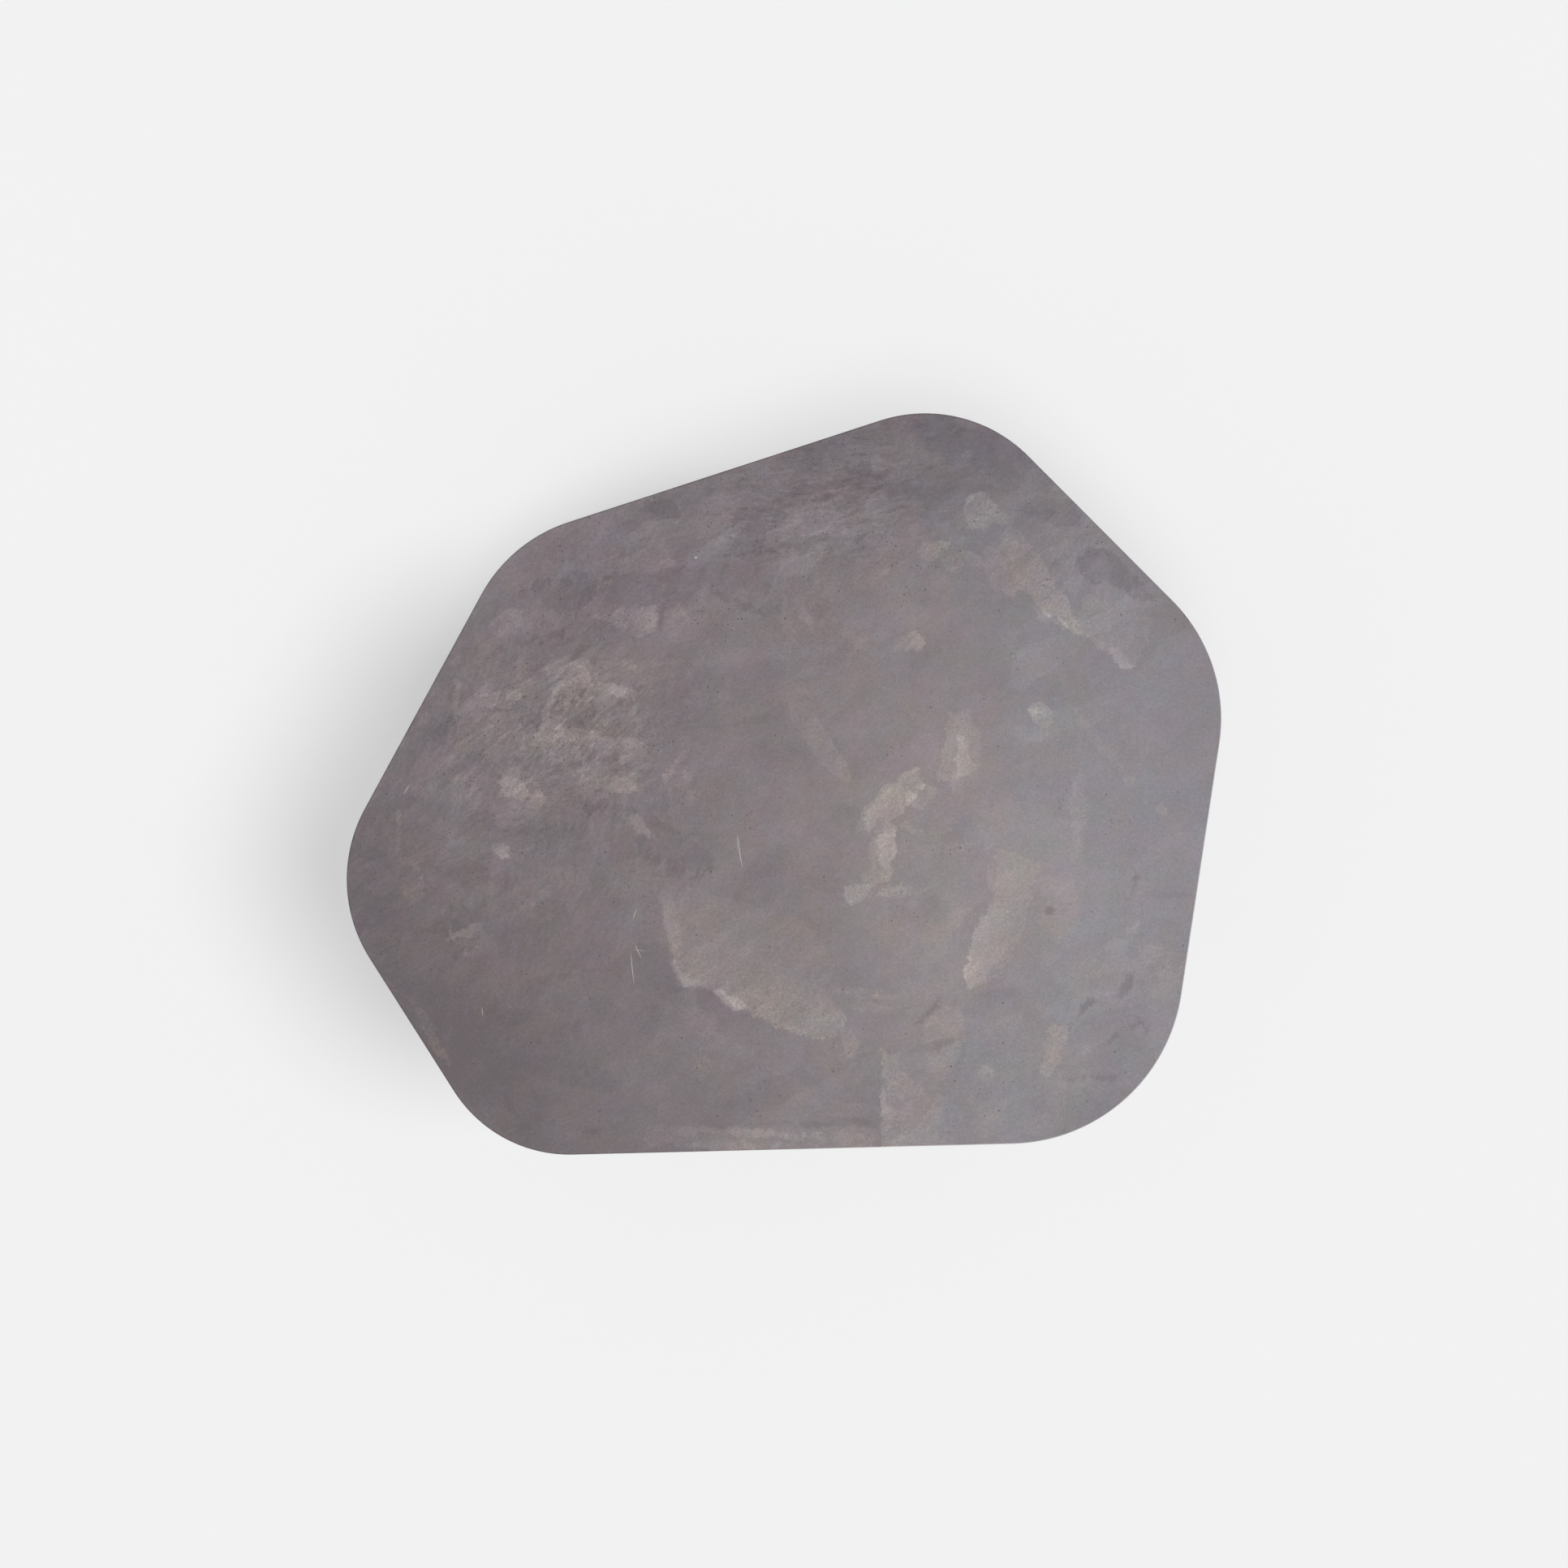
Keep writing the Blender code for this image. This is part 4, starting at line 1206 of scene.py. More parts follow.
TOP_STROKES: tuple[Stroke, ...] = (
    # the chain of smears right of the middle
    Stroke(BROAD, (0.108, -0.020), 0.090, 0.032, 42, 0.95, (0.3, -1.0), 0.4),
    Stroke(BROAD, (0.100, -0.070), 0.056, 0.026, 80, 0.85, (0.3, -1.0), 0.3),
    Stroke(BROAD, (0.090, -0.098), 0.040, 0.018, 35, 0.8, (0.3, -1.0), 0.3),
    # round the cluster
    Stroke(BRIGHT, (-0.218, 0.112), 0.044, 0.022, 25, 0.45, (0.3, -0.5), 0.4),
    Stroke(BRIGHT, (-0.177, 0.099), 0.058, 0.010, -12, 0.75, (0.3, -0.5), 0.3),
    Stroke(BRIGHT, (-0.156, 0.080), 0.030, 0.008, 80, 0.45),
    Stroke(BRIGHT, (-0.236, 0.088), 0.032, 0.008, 55, 0.5),
    Stroke(BRIGHT, (-0.212, 0.046), 0.100, 0.013, -4, 0.60),
    Stroke(BRIGHT, (-0.192, 0.030), 0.030, 0.007, 65, 0.4),
    Stroke(BRIGHT, (-0.208, 0.018), 0.032, 0.007, 105, 0.4),
    Stroke(DARK, (-0.222, 0.028), 0.030, 0.009, 60, 0.7),
    Stroke(DARK, (-0.180, 0.014), 0.026, 0.010, 40, 0.7),
    Stroke(DARK, (-0.200, 0.072), 0.070, 0.020, 8, 0.9),
    Stroke(BRIGHT, (-0.171, 0.000), 0.040, 0.022, -12, 0.60, (0.4, -0.8), 0.3),
    Stroke(BRIGHT, (-0.153, -0.040), 0.040, 0.013, -38, 0.75, (0.4, -0.8), 0.4),
    Stroke(BRIGHT, (-0.281, -0.004), 0.036, 0.020, -20, 0.60, (0.4, -1.2), 0.3),
    Stroke(BRIGHT, (-0.256, -0.023), 0.028, 0.013, 68, 0.70, (0.2, -0.8), 0.3),
    Stroke(BRIGHT, (-0.292, -0.067), 0.022, 0.011, -28, 1.0, (0.0, 0.0), 0.5),
    Stroke(BROAD, (-0.200, 0.000), 0.032, 0.020, 72, 0.6, (0.4, -0.8)),
    Stroke(BROAD, (-0.342, -0.052), 0.024, 0.010, 72, 0.5),
    Stroke(BRIGHT, (-0.122, 0.003), 0.046, 0.007, 56, 0.85),
    Stroke(BRIGHT, (-0.102, 0.012), 0.026, 0.006, -62, 0.6),
    Stroke(BROAD, (-0.105, -0.006), 0.030, 0.016, -50, 0.5),
    Stroke(DARK, (-0.130, -0.042), 0.050, 0.010, -25, 0.6),
    Stroke(DARK, (-0.108, -0.066), 0.070, 0.024, -22, 0.5, (-0.8, 0.8)),
    Stroke(DARK, (-0.150, -0.070), 0.030, 0.012, 60, 0.4),
    Stroke(BROAD, (-0.160, 0.122), 0.020, 0.005, -10, 0.8, (-1.0, -1.5)),
    # the left side
    Stroke(BRIGHT, (-0.3245, -0.1505), 0.032, 0.007, 202, 0.8, (0.3, -0.4), 0.3),
    Stroke(BRIGHT, (-0.3320, -0.1640), 0.026, 0.006, 123, 0.7, (0.3, -0.4), 0.3),
    Stroke(BROAD, (-0.300, 0.086), 0.056, 0.020, 4, 1.1, (0.3, -1.0), 0.4),
    Stroke(BROAD, (-0.302, 0.060), 0.040, 0.030, -30, 0.35),
    Stroke(BRIGHT, (-0.337, 0.086), 0.040, 0.006, 82, 0.6),
    Stroke(DARK, (-0.362, 0.048), 0.060, 0.028, 52, 0.6, (-0.8, 1.0)),
    Stroke(DARK, (-0.330, 0.020), 0.040, 0.014, 40, 0.4),
    Stroke(BRIGHT, (-0.340, 0.126), 0.016, 0.006, 60, 0.5, (0.8, -1.0)),
    Stroke(BROAD, (-0.286, 0.166), 0.044, 0.022, 20, 0.7, (0.5, -0.4)),
    Stroke(DARK, (-0.222, 0.190), 0.056, 0.028, 12, 0.75, (-0.8, 0.8)),
    Stroke(DARK, (-0.212, 0.215), 0.022, 0.014, 0, 0.8, (-0.5, 1.2)),
    Stroke(DARK, (-0.262, 0.150), 0.050, 0.012, 35, 0.4),
    Stroke(BROAD, (-0.186, 0.176), 0.060, 0.022, -25, 0.7, (0.8, -0.4)),
    Stroke(BROAD, (-0.165, 0.238), 0.110, 0.046, -4, 0.35, (0.6, 0.0)),
    Stroke(BRIGHT, (-0.188, 0.202), 0.018, 0.005, 20, 0.35, (1.5, -1.2)),
    Stroke(DARK, (-0.127, 0.166), 0.026, 0.005, 82, 0.8),
    Stroke(BRIGHT, (-0.381, -0.086), 0.042, 0.006, -55, 0.75, (0.3, -0.6)),
    Stroke(BRIGHT, (-0.396, -0.055), 0.048, 0.005, 86, 0.6),
    Stroke(BROAD, (-0.381, -0.108), 0.032, 0.022, -60, 0.55, (0.4, -0.5)),
    Stroke(BRIGHT, (-0.272, -0.129), 0.070, 0.006, 35, 0.35),
    Stroke(DARK, (-0.330, -0.090), 0.054, 0.032, -20, 0.4),
    Stroke(DARK, (-0.284, -0.325), 0.022, 0.010, -60, 0.7),
    Stroke(DARK, (-0.201, -0.358), 0.016, 0.009, 0, 0.7),
    Stroke(DARK, (-0.225, -0.296), 0.110, 0.026, -14, 0.35, (-1.5, 0.5)),
    Stroke(BROAD, (-0.368, -0.250), 0.080, 0.011, -58, 0.8, (0.8, -0.6), 0.3),
    Stroke(BROAD, (-0.090, -0.240), 0.050, 0.024, -38, 0.5, (0.6, 0.0)),
    Stroke(BROAD, (-0.060, -0.268), 0.060, 0.016, -25, 0.3, (0.6, 0.0)),
    Stroke(BRIGHT, (-0.060, -0.357), 0.150, 0.007, -2, 0.65, (0.2, -1.0)),
    Stroke(BRIGHT, (-0.080, -0.371), 0.120, 0.005, -1, 0.50),
    Stroke(BRIGHT, (0.046, -0.366), 0.060, 0.006, 4, 0.30),
    Stroke(DARK, (0.030, -0.348), 0.110, 0.008, -1, 0.5),
    # behind the middle
    Stroke(BRIGHT, (0.014, 0.182), 0.034, 0.005, -62, 0.35, (0.4, -0.8)),
    Stroke(BROAD, (0.068, 0.190), 0.062, 0.013, 16, 1.1, (0.8, -1.0), 0.4),
    Stroke(BROAD, (0.034, 0.160), 0.034, 0.009, 5, 0.9),
    Stroke(DARK, (0.034, 0.176), 0.020, 0.012, 60, 0.5),
    Stroke(BROAD, (0.086, 0.218), 0.070, 0.036, 20, 0.55, (1.0, -1.0)),
    Stroke(BROAD, (0.150, 0.240), 0.034, 0.016, 25, 1.0, (1.2, -1.2), 0.3),
    Stroke(BROAD, (0.122, 0.144), 0.042, 0.026, 20, 0.95, (0.2, -1.0), 0.4),
    Stroke(BRIGHT, (0.180, 0.330), 0.022, 0.009, 40, 0.35),
    Stroke(BROAD, (0.030, 0.055), 0.110, 0.024, -56, 0.55, (0.3, -0.8), 0.3),
    Stroke(BROAD, (0.267, 0.070), 0.038, 0.020, 135, 0.95, (0.8, -1.2), 0.3),
    Stroke(BRIGHT, (0.254, 0.079), 0.014, 0.010, -60, 0.35, (0.5, -0.8)),
    Stroke(BROAD, (0.320, 0.050), 0.080, 0.012, -50, 0.25),
    # front right
    Stroke(BROAD, (0.126, -0.046), 0.024, 0.008, -22, 0.6),
    Stroke(BROAD, (0.122, -0.108), 0.056, 0.014, 184, 0.8, (0.2, -0.8)),
    Stroke(BROAD, (0.302, -0.040), 0.090, 0.016, 88, 0.45, (0.0, 0.0)),
    Stroke(BROAD, (0.355, 0.002), 0.018, 0.012, 0, 0.5, (0.6, -1.0)),
    Stroke(BROAD, (0.385, -0.027), 0.012, 0.008, 0, 0.5, (0.6, -1.0)),
    Stroke(BROAD, (0.358, -0.150), 0.018, 0.012, 60, 0.4, (0.6, -1.0)),
    Stroke(DARK, (0.362, -0.104), 0.022, 0.005, 94, 1.0),
    Stroke(DARK, (0.300, -0.240), 0.036, 0.006, 45, 1.1),
    Stroke(DARK, (0.344, -0.220), 0.056, 0.007, 60, 1.1),
    Stroke(DARK, (0.362, -0.242), 0.022, 0.006, -40, 1.0),
    Stroke(DARK, (0.336, -0.262), 0.046, 0.006, 30, 0.9),
    Stroke(DARK, (0.296, -0.302), 0.050, 0.004, 0, 0.8),
    Stroke(DARK, (0.142, -0.240), 0.030, 0.007, 50, 1.1),
    Stroke(DARK, (0.150, -0.270), 0.040, 0.006, 20, 0.9),
    Stroke(DARK, (0.215, -0.225), 0.060, 0.030, 15, 0.45, (-1.0, 1.0)),
    Stroke(BROAD, (0.065, -0.214), 0.080, 0.007, -2, 0.6),
    Stroke(BROAD, (0.075, -0.228), 0.060, 0.006, -4, 0.5),
    Stroke(BROAD, (0.204, -0.298), 0.018, 0.010, 30, 0.8, (0.8, -1.0)),
    Stroke(BROAD, (0.113, -0.287), 0.022, 0.012, 60, 0.5, (0.4, -0.5), 0.3),
    Stroke(BROAD, (0.282, -0.330), 0.050, 0.014, 88, 0.35),
    Stroke(BROAD, (0.330, -0.180), 0.060, 0.026, 35, 0.35, (0.0, -0.5)),
    Stroke(BROAD, (0.160, -0.150), 0.070, 0.020, 30, 0.30, (0.4, -0.8)),
    Stroke(DARK, (0.130, -0.135), 0.060, 0.018, 25, 0.35),
    Stroke(DARK, (0.170, -0.060), 0.050, 0.020, 60, 0.35),
)

# short passes all over, crowded and lying flat at the back, crowded and steep at the left
TOP_SCATTER: tuple[tuple[int, Point, Point, int, float], ...] = (
    # count, low corner, high corner, seed, lean in degrees
    (110, (-0.45, -0.38), (0.45, 0.38), 11, 38.0),
    (34, (-0.08, 0.22), (0.17, 0.36), 12, 8.0),
    (26, (-0.42, -0.12), (-0.24, 0.14), 13, 55.0),
)

TOP_CHATTER: tuple[tuple[Point, Point, int, float, float, float], ...] = (
    # start, end, count, length, angle in degrees, level
    ((-0.238, 0.072), (-0.164, 0.074), 11, 0.022, 64.0, 1.3),
    ((-0.260, 0.038), (-0.176, 0.020), 12, 0.016, 68.0, 1.2),
    ((-0.206, -0.020), (-0.156, -0.022), 7, 0.016, -62.0, 1.0),
    ((-0.142, -0.078), (-0.084, -0.100), 9, 0.018, 66.0, 1.0),
    ((-0.350, -0.078), (-0.318, -0.098), 8, 0.018, 48.0, 0.9),
    ((-0.300, 0.132), (-0.236, 0.150), 9, 0.016, 40.0, 0.8),
    ((-0.262, 0.196), (-0.190, 0.204), 9, 0.022, 30.0, 0.9),
    ((-0.060, 0.236), (0.020, 0.244), 10, 0.014, 8.0, 0.9),
    ((0.010, 0.300), (0.110, 0.318), 10, 0.016, 12.0, 0.9),
    ((-0.070, 0.196), (-0.020, 0.182), 7, 0.012, -20.0, 0.8),
)

TOP_WASHES_AND_PAINTED_LIGHT: tuple[Wash, ...] = (
    # partly painted light: paler towards the right
    # the wide lift on the right and the darkening at the back and the front left are partly the coat's own
    # uneven tone and partly painted light falling from the right; the smaller washes are the coat's own
    # tone, hue and marks
    Wash((0.38, -0.10), (0.30, 0.32), 0.31, (0.0, 0.0), 0.0, 0.3),
    Wash((0.38, 0.00), (0.20, 0.24), 0.0, (0.4, 0.4), 0.0, 0.0, 0.5),
    Wash((0.26, 0.18), (0.14, 0.12), 0.05),
    Wash((0.10, -0.14), (0.12, 0.10), 0.04),
    Wash((0.12, -0.34), (0.20, 0.12), 0.10, (0.0, 0.0), 0.2, 0.8),
    # partly painted shade: darker towards the back
    Wash((0.16, 0.38), (0.30, 0.09), -0.16, (0.0, 1.2), 0.5, 0.8),
    # partly painted shade: darker towards the front left
    Wash((-0.36, -0.26), (0.18, 0.16), -0.22, (0.4, -1.6)),
    Wash((-0.20, -0.34), (0.12, 0.08), -0.09),
    Wash((-0.45, -0.05), (0.07, 0.14), -0.10, (0.4, 0.0), 0.5),
    Wash((0.42, 0.02), (0.09, 0.24), -0.06, (0.3, 2.0)),
    Wash((0.10, -0.10), (0.16, 0.20), 0.0, (0.5, -1.8)),
    Wash((-0.22, 0.05), (0.12, 0.10), 0.0, (0.6, -0.6), 1.3),
    Wash((-0.20, 0.06), (0.06, 0.07), 0.10, (0.0, -0.6), 0.5),
    Wash((-0.16, 0.22), (0.12, 0.07), 0.0, (0.4, 1.4)),
    Wash((0.04, 0.28), (0.12, 0.07), 0.0, (0.4, 0.6), 1.5, 1.0),
    Wash((-0.14, 0.22), (0.12, 0.07), -0.03, (0.4, 0.6), 0.9, 0.3),
    Wash((0.30, 0.26), (0.06, 0.06), 0.07, (0.0, 0.0), 0.9),
    Wash((0.20, -0.15), (0.07, 0.06), 0.04),
    Wash((-0.30, -0.12), (0.14, 0.16), -0.04, (0.2, 0.0), 0.5),
    Wash((-0.30, 0.05), (0.10, 0.08), -0.02, (0.0, 0.0), 0.5),
    Wash((0.40, -0.06), (0.08, 0.10), -0.03),
    Wash((0.33, 0.24), (0.06, 0.05), 0.03),
    Wash((0.08, -0.04), (0.05, 0.05), -0.025),
    Wash((-0.30, -0.16), (0.08, 0.06), -0.02),
    Wash((0.25, 0.04), (0.10, 0.06), -0.035),
    Wash((0.15, 0.16), (0.10, 0.06), 0.04),
    Wash((-0.10, 0.15), (0.07, 0.05), -0.03),
    Wash((0.20, -0.34), (0.08, 0.05), -0.03),
    Wash((0.0, 0.0), (2.0, 2.0), -0.004, (0.1, 0.7)),
)

TOP_SCRATCHES: tuple[Scratch, ...] = (
    Scratch((-0.0455, -0.070), 0.036, 98.0, 0.8 * MM, 0.6, 0.4 * MM),
    Scratch((-0.0480, -0.060), 0.020, 92.0, 0.3 * MM, 0.35, 0.3 * MM),
    Scratch((-0.1480, -0.171), 0.016, 172.0, 0.4 * MM, 0.35, 0.3 * MM),
    Scratch((-0.1560, -0.189), 0.036, 96.0, 0.4 * MM, 0.5, 0.4 * MM),
    Scratch((-0.1500, -0.172), 0.017, 115.0, 0.3 * MM, 0.5, 0.4 * MM),
    Scratch((-0.1535, -0.134), 0.012, 70.0, 0.4 * MM, 0.5, 0.4 * MM),
    Scratch((-0.3100, -0.234), 0.010, 95.0, 0.0, 0.4, 0.4 * MM),
    Scratch((-0.3880, -0.006), 0.012, 60.0, 0.0, 0.45, 0.5 * MM),
)


@dataclass
class Tabletop:
    """The top: its coat, the two boards of its core and the liner under them."""

    nodes: dict[str, bpy.types.Object]
    cells: int = 264  # along each side of the face's grid; a multiple of two
    coat: float = 3 * MM
    arris: float = 2.5 * MM
    arris_steps: int = 5
    lower_arris: float = 1.5 * MM
    lower_steps: int = 3
    side_rows: int = 6
    start: float = 0.6  # how far round the outline the grid's first ray lies
    hollow: float = 0.35 * MM  # how deep the sanded face dips between its passes
    arris_highlight: float = 0.7  # how much paler the arris is painted where its painted highlight is strongest
    highlight_way: Point = (0.85, -0.53)  # towards the front right, where the painted highlight lies
    stain: Point = (0.273, -0.130)

    def build(self) -> None:
        """Builds the coat and dresses the pieces inside it."""
        low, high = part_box("top_coat")
        outline = RoundedOutline(high.x - low.x, high.y - low.y)
        obj = self._face(outline, high.z)
        self._edge(obj, low.z, high.z)
        self._paint(obj, high.z)
        finish_piece(obj, Microcement().build(TOP_SCRATCHES, self.stain, high.z))
        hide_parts("top_coat")
        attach(obj, "table")
        LOG.info("%s built with %d faces", obj.name, len(obj.data.polygons))
        # medium-density fibreboard: an even brown mat of fine fibres
        board = Board("fibreboard", "#b08d63", "#8d6c47")
        dress(("upper_core_sheet", "lower_core_sheet"), self.nodes, board.build())
        # compact laminate: smooth, nearly black and half matt
        liner = Moulded("laminate_liner", "#232324", "#2b2b2b", 0.48, pitch=0.6 * MM)
        dress(("underside_liner",), self.nodes, liner.build())

    def _face(self, outline: RoundedOutline, height: float) -> bpy.types.Object:
        """Lays a grid over the face, its rings following the outline."""
        deselect_all()
        bpy.ops.mesh.primitive_grid_add(x_subdivisions=self.cells, y_subdivisions=self.cells, size=2)
        obj = bpy.context.object
        obj.name = obj.data.name = "coffee_table_top"
        half = self.cells // 2
        around = 8 * half
        edge, outward = outline.sample(around, self.arris)
        places = vertex_array(obj.data)
        i, j = np.rint(places[:, 0] * half).astype(int), np.rint(places[:, 1] * half).astype(int)
        ring = np.maximum(np.abs(i), np.abs(j))
        index = self._round_the_ring(i, j, np.maximum(ring, 1)) * around
        lower = np.floor(index).astype(int) % around
        upper = (lower + 1) % around
        share = (index - np.floor(index))[:, None]
        rim = edge[lower] * (1 - share) + edge[upper] * share
        places[:, :2] = rim * (ring / half)[:, None]
        places[:, 2] = height
        set_vertex_array(obj.data, places)
        way = outward[lower] * (1 - share) + outward[upper] * share
        store_attribute(obj.data, "outward", np.concatenate([way, np.zeros((len(way), 1))], 1))
        return obj

    def _round_the_ring(self, i: np.ndarray, j: np.ndarray, ring: np.ndarray) -> np.ndarray:
        """Share of the way round its square ring at which each grid point lies, anticlockwise."""
        right = (i == ring) & (j > -ring)
        top = (j == ring) & ~right
        left = (i == -ring) & ~top & ~right
        run = np.select([right, top, left], [j + ring, 3 * ring - i, 5 * ring - j], 7 * ring + i)
        return (run / (8 * ring) + self.start) % 1.0

    def _edge(self, obj: bpy.types.Object, low: float, high: float) -> None:
        """Extrudes the face's rim round the arris, down the side and up inside the coat."""
        upper = [(inset, high - drop) for inset, drop in reversed(quarter(self.arris, self.arris_steps))][1:]
        top, bottom = high - self.arris, low + self.lower_arris
        side = [(0.0, float(z)) for z in np.linspace(top, bottom, self.side_rows + 1)][1:]
        lower = [(inset, low + drop) for inset, drop in quarter(self.lower_arris, self.lower_steps)][1:]
        inside = [(self.coat, low), (self.coat, high - self.coat)]
        bpy.ops.object.mode_set(mode="EDIT")
        bpy.ops.mesh.select_mode(type="EDGE")
        bpy.ops.mesh.select_all(action="SELECT")
        bpy.ops.mesh.region_to_loop()
        extrude_profile(obj, self.arris, upper + side + lower + inside)
        bpy.ops.mesh.edge_face_add()
        bpy.ops.mesh.select_all(action="SELECT")
        bpy.ops.mesh.normals_make_consistent(inside=False)
        bpy.ops.object.mode_set(mode="OBJECT")

    def _paint(self, obj: bpy.types.Object, height: float) -> None:
        """Paints the coat's layers and a painted highlight along the arris, and gives the face its slight
        hand-made hollows.
        """
        places = vertex_array(obj.data)
        u, v = places[:, 0], places[:, 1]
        strokes: list[Stroke] = []
        for row in TOP_SCATTER:
            strokes += scattered_strokes(*row)
        strokes += TOP_STROKES
        for row in TOP_CHATTER:
            strokes += chatter(*row)
        painted = CoatPainting(TOP_PATCHES, strokes, TOP_WASHES_AND_PAINTED_LIGHT).paint(u, v)
        # painted highlight: the arris is painted paler along the right and the front right, where the light
        # from the right catches it
        drop = (height - places[:, 2]) / self.arris
        facing = (self.highlight_way[0] * u + self.highlight_way[1] * v) / np.hypot(u, v).clip(MM)
        # the painted highlight's strength at each vertex of the arris
        worn = self.arris_highlight * np.clip(facing, 0, 1) ** 2
        painted["coat_veil_and_painted_light"][:, 0] += np.where((drop > 0.1) & (drop < 1.1), worn, 0.0)
        for name, values in painted.items():
            store_attribute(obj.data, name, values)
        broad = painted[Layer.BROAD.value][:, 0]
        rise = 0.5 * cloud(u, v, 90 * MM, 21) + 0.25 * cloud(u, v, 30 * MM, 22) + 0.25 * broad
        face = places[:, 2] > height - 0.05 * MM
        places[face, 2] -= self.hollow * (1 - rise[face])
        set_vertex_array(obj.data, places)


# ------------------------------------------------------------------ legs
@dataclass
class Legs:
    """The three legs: coats with their own trowel passes, and the wood and metal inside them."""

    nodes: dict[str, bpy.types.Object]
    numbers: tuple[int, ...] = (1, 2, 3)
    around: int = 144
    rows: int = 110
    coat: float = 3 * MM
    arris: float = 2.5 * MM
    arris_steps: int = 4
    hollow: float = 0.35 * MM
    passes: int = 46  # of the trowel on one leg
    painted_height: float = 0.36

    def build(self) -> None:
        """Builds each leg's coat and dresses its other pieces."""
        finish = Microcement(name="microcement_legs").build()
        for number in self.numbers:
            self._coat(number, finish)
        self._dress_inside()

    def _coat(self, number: int, finish: bpy.types.Material) -> None:
        """Builds one leg's coat, a sleeve with rounded rims."""
        low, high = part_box(f"leg_coat_{number}")
        radius = (high.x - low.x) / 2
        middle = (low + high) / 2
        deselect_all()
        bpy.ops.mesh.primitive_circle_add(
            vertices=self.around, radius=radius - self.coat, location=(0, 0, 0), fill_type="NOTHING"
        )
        obj = bpy.context.object
        obj.name = obj.data.name = f"coffee_table_leg_{number}"
        places = vertex_array(obj.data)
        outward = places / np.linalg.norm(places, axis=1)[:, None]
        places[:, 2] = low.z
        set_vertex_array(obj.data, places)
        store_attribute(obj.data, "outward", outward)
        round_rim = quarter(self.arris, self.arris_steps)
        lower = [(inset, low.z + drop) for inset, drop in reversed(round_rim)]
        bottom, top = low.z + self.arris, high.z - self.arris
        side = [(0.0, bottom + (top - bottom) * k / self.rows) for k in range(1, self.rows)]
        upper = [(inset, high.z - drop) for inset, drop in round_rim]
        inside = [(self.coat, high.z), (self.coat, low.z)]
        bpy.ops.object.mode_set(mode="EDIT")
        bpy.ops.mesh.select_mode(type="EDGE")
        bpy.ops.mesh.select_all(action="SELECT")
        extrude_profile(obj, self.coat, lower + side + upper + inside)
        bpy.ops.mesh.select_all(action="SELECT")
        bpy.ops.mesh.remove_doubles(threshold=0.02 * MM)
        bpy.ops.mesh.normals_make_consistent(inside=False)
        bpy.ops.object.mode_set(mode="OBJECT")
        self._paint(obj, radius, number)
        places = vertex_array(obj.data)
        places[:, 0] += middle.x
        places[:, 1] += middle.y
        set_vertex_array(obj.data, places)
        finish_piece(obj, finish)
        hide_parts(f"leg_coat_{number}")
        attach(obj, "table")
        LOG.info("%s built with %d faces", obj.name, len(obj.data.polygons))

    def _paint(self, obj: bpy.types.Object, radius: float, number: int) -> None:
        """Paints a leg's coat and lets its side wander by a few tenths of a millimetre."""
        places = vertex_array(obj.data)
        angle = np.arctan2(places[:, 1], places[:, 0])
        u, v = angle * radius, places[:, 2]
        girth = 2 * math.pi * radius
        high = (girth / 2, self.painted_height)
        strokes = scattered_strokes(self.passes, (-girth / 2, 0.0), high, 30 + number, 60.0)
        # darker and paler by turns on the way up and round
        washes = [
            Wash((girth * (0.31 * k - 0.4), 0.1 * k), (0.10, 0.12), 0.05 * (-1) ** k) for k in range(4)
        ]
        for name, values in CoatPainting((), strokes, washes, girth=girth).paint(u, v).items():
            store_attribute(obj.data, name, values)
        away = np.hypot(places[:, 0], places[:, 1])
        side = away > radius - 0.1 * MM
        seamless = 0.5 + 0.25 * np.sin(3 * angle + v * 21) + 0.25 * np.sin(5 * angle - v * 34)
        dip = self.hollow * (1 - seamless)
        places[side, :2] *= (1 - dip[side] / away[side])[:, None]
        set_vertex_array(obj.data, places)

    def _dress_inside(self) -> None:
        """Dresses the wood, metal and plastic of every leg."""
        # veneers bent and glued round a former: warm wood, its layers showing as rings at the rim
        tube = Board("bent_plywood", "#c8a67c", "#a98659", ply=1.5 * MM, stretch=0.4)
        # sawn birch plywood: pale faces with long grain, and a striped edge
        plug = Board("birch_plywood", "#d9be94", "#b8946a", ply=1.4 * MM, stretch=4.0)
        # steel under baked powder coat: nearly black, with a fine orange peel
        plate = Moulded("powder_coat", "#222223", "#2a2a2b", 0.45, pitch=0.7 * MM, relief=0.05 * MM)
        # zinc-plated steel: bright grey metal, drawn along its length
        zinc = Moulded("zinc_plate", "#c3c6c8", "#a9adb0", 0.32, metallic=1.0, stretch=(1.0, 1.0, 6.0))
        # turned brass: yellow metal with the lathe's fine rings
        brass = Moulded("turned_brass", "#d2b36a", "#b8974f", 0.30, metallic=1.0, stretch=(1.0, 1.0, 8.0))
        # moulded nylon: a dull near-black with a slight texture
        nylon = Moulded("moulded_nylon", "#242425", "#2c2c2d", 0.52, pitch=0.5 * MM, relief=0.03 * MM)
        finishes = {
            "leg_tube_{}": tube,
            "leg_top_plug_{}": plug,
            "leg_bottom_plug_{}": plug,
            "mounting_plate_{}": plate,
            **{f"plate_screw_{{}}_{screw}": zinc for screw in range(1, 5)},
            "hanger_stud_{}": zinc,
            "foot_stud_{}": zinc,
            "hanger_insert_{}": brass,
            "foot_insert_{}": brass,
            "foot_base_{}": nylon,
            "foot_felt_{}": Felt(),
        }
        built: dict[str, bpy.types.Material] = {}
        for pattern, finish in finishes.items():
            if finish.name not in built:
                built[finish.name] = finish.build()
            dress([pattern.format(n) for n in self.numbers], self.nodes, built[finish.name])


# ------------------------------------------------------------------ studio
@dataclass(frozen=True)
class Softbox:
    """A wide soft light: its bearing, elevation and half angle in degrees, and its strength."""

    name: str
    bearing: float
    elevation: float
    half_angle: float
    strength: float


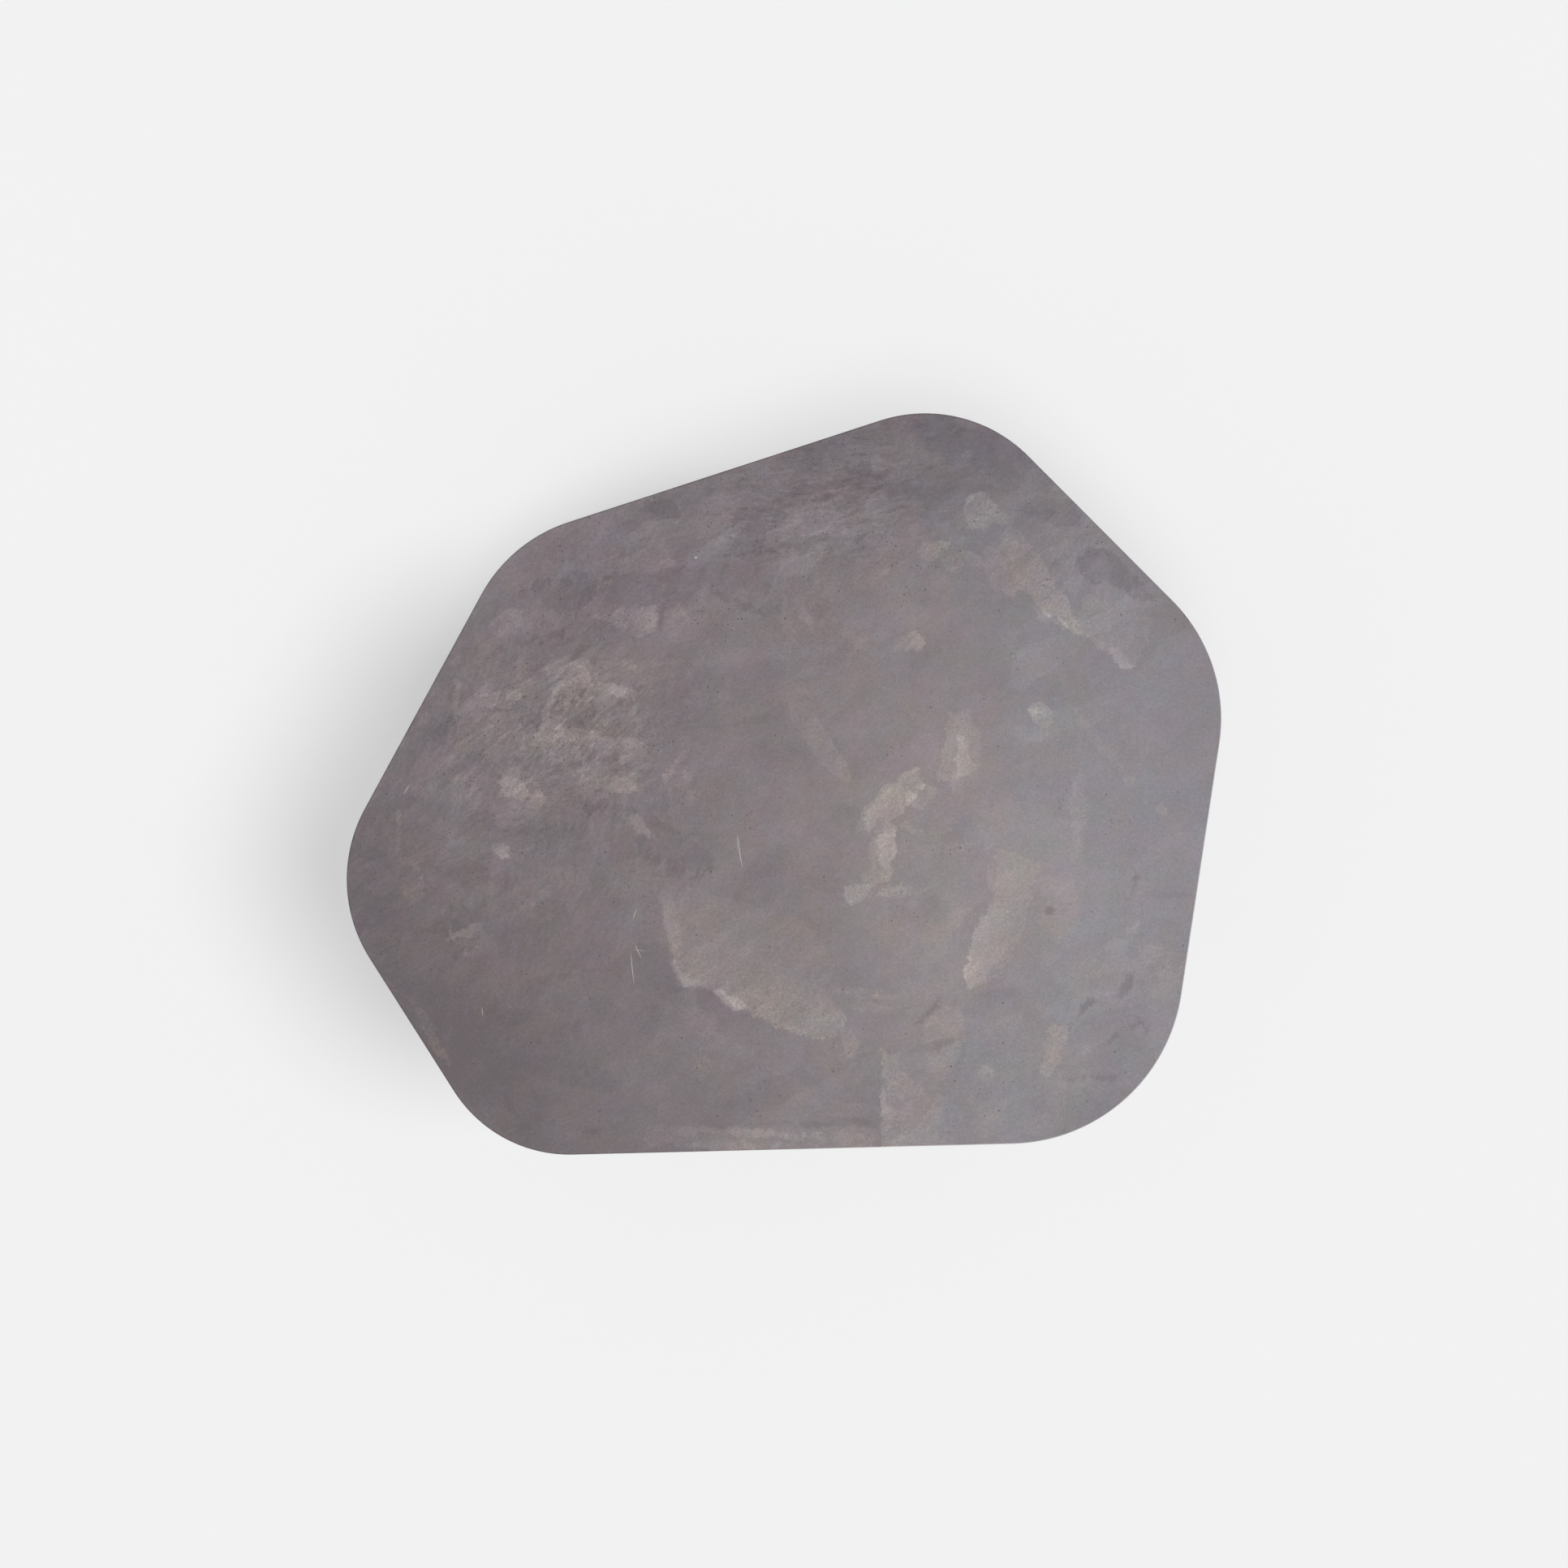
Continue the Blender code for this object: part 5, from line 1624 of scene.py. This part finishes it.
@dataclass
class Studio:
    """A plain pale floor, soft light and a camera straight above the table."""

    frame_width: float = 1.6107  # what the camera sees of the plane of the tabletop
    camera_height: float = 1.142  # above the tabletop
    sensor: float = 36.0
    dome: float = 0.167
    floor_size: float = 14.0
    floor_greys: tuple[str, str] = ("#efeff0", "#f1f1f1")
    lamp_distance: float = 4.0
    softboxes: tuple[Softbox, ...] = (
        Softbox("softbox_right", 2.3, 54.7, 11.5, 1.124),
        Softbox("softbox_front", -107.5, 77.6, 20.0, 1.805),
    )

    def build(self) -> None:
        """Builds the floor, the lights and the camera."""
        self._floor()
        self._lights()
        self._camera()

    def _floor(self) -> None:
        """Lays the floor."""
        deselect_all()
        bpy.ops.mesh.primitive_plane_add(size=self.floor_size, location=(0, 0, 0))
        floor = bpy.context.object
        floor.name = "floor"
        material, tree, shader = new_material("pale_floor")
        where = add(tree, "TexCoord").outputs["Object"]
        tone = add(tree, "TexNoise", {"Vector": where, "Scale": 0.8, "Detail": 3.0})
        colours = {0: tone, 6: linear(self.floor_greys[0]), 7: linear(self.floor_greys[1])}
        colour = add(tree, "Mix", colours, data_type="RGBA").outputs[2]
        fill(tree, shader, {"Base Color": colour, "Roughness": 0.9, "Specular IOR Level": 0.2})
        floor.data.materials.append(material)

    def _lights(self) -> None:
        """Sets a uniform dome and two wide soft lights."""
        scene = bpy.context.scene
        world = bpy.data.worlds.new("studio")
        world.use_nodes = True
        sky = world.node_tree.nodes["Background"]
        fill(world.node_tree, sky, {"Color": (1.0, 1.0, 1.0, 1.0), "Strength": self.dome})
        scene.world = world
        for box in self.softboxes:
            lamp = bpy.data.lights.new(box.name, "SUN")
            lamp.energy = box.strength
            lamp.angle = math.radians(box.half_angle * 2)
            obj = bpy.data.objects.new(box.name, lamp)
            scene.collection.objects.link(obj)
            turn, rise = math.radians(box.bearing), math.radians(box.elevation)
            level = math.cos(rise)
            toward = Vector((level * math.cos(turn), level * math.sin(turn), math.sin(rise)))
            obj.rotation_euler = toward.to_track_quat("Z", "Y").to_euler()
            obj.location = toward * self.lamp_distance

    def _camera(self) -> None:
        """Hangs the camera over the middle of the top."""
        _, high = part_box("top_coat")
        lens = bpy.data.cameras.new("camera")
        lens.sensor_width = self.sensor
        lens.lens = self.sensor * self.camera_height / self.frame_width
        camera = bpy.data.objects.new("camera", lens)
        camera.location = (0, 0, high.z + self.camera_height)
        bpy.context.scene.collection.objects.link(camera)
        bpy.context.scene.camera = camera
        bpy.context.scene.view_settings.view_transform = "Standard"


def main() -> None:
    """Builds the table round the frame, and the studio round the table."""
    logging.basicConfig(level=logging.INFO, format="%(name)s: %(message)s")
    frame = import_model()
    Tabletop(frame["nodes"]).build()
    Legs(frame["nodes"]).build()
    Studio().build()


if __name__ == "__main__":
    main()
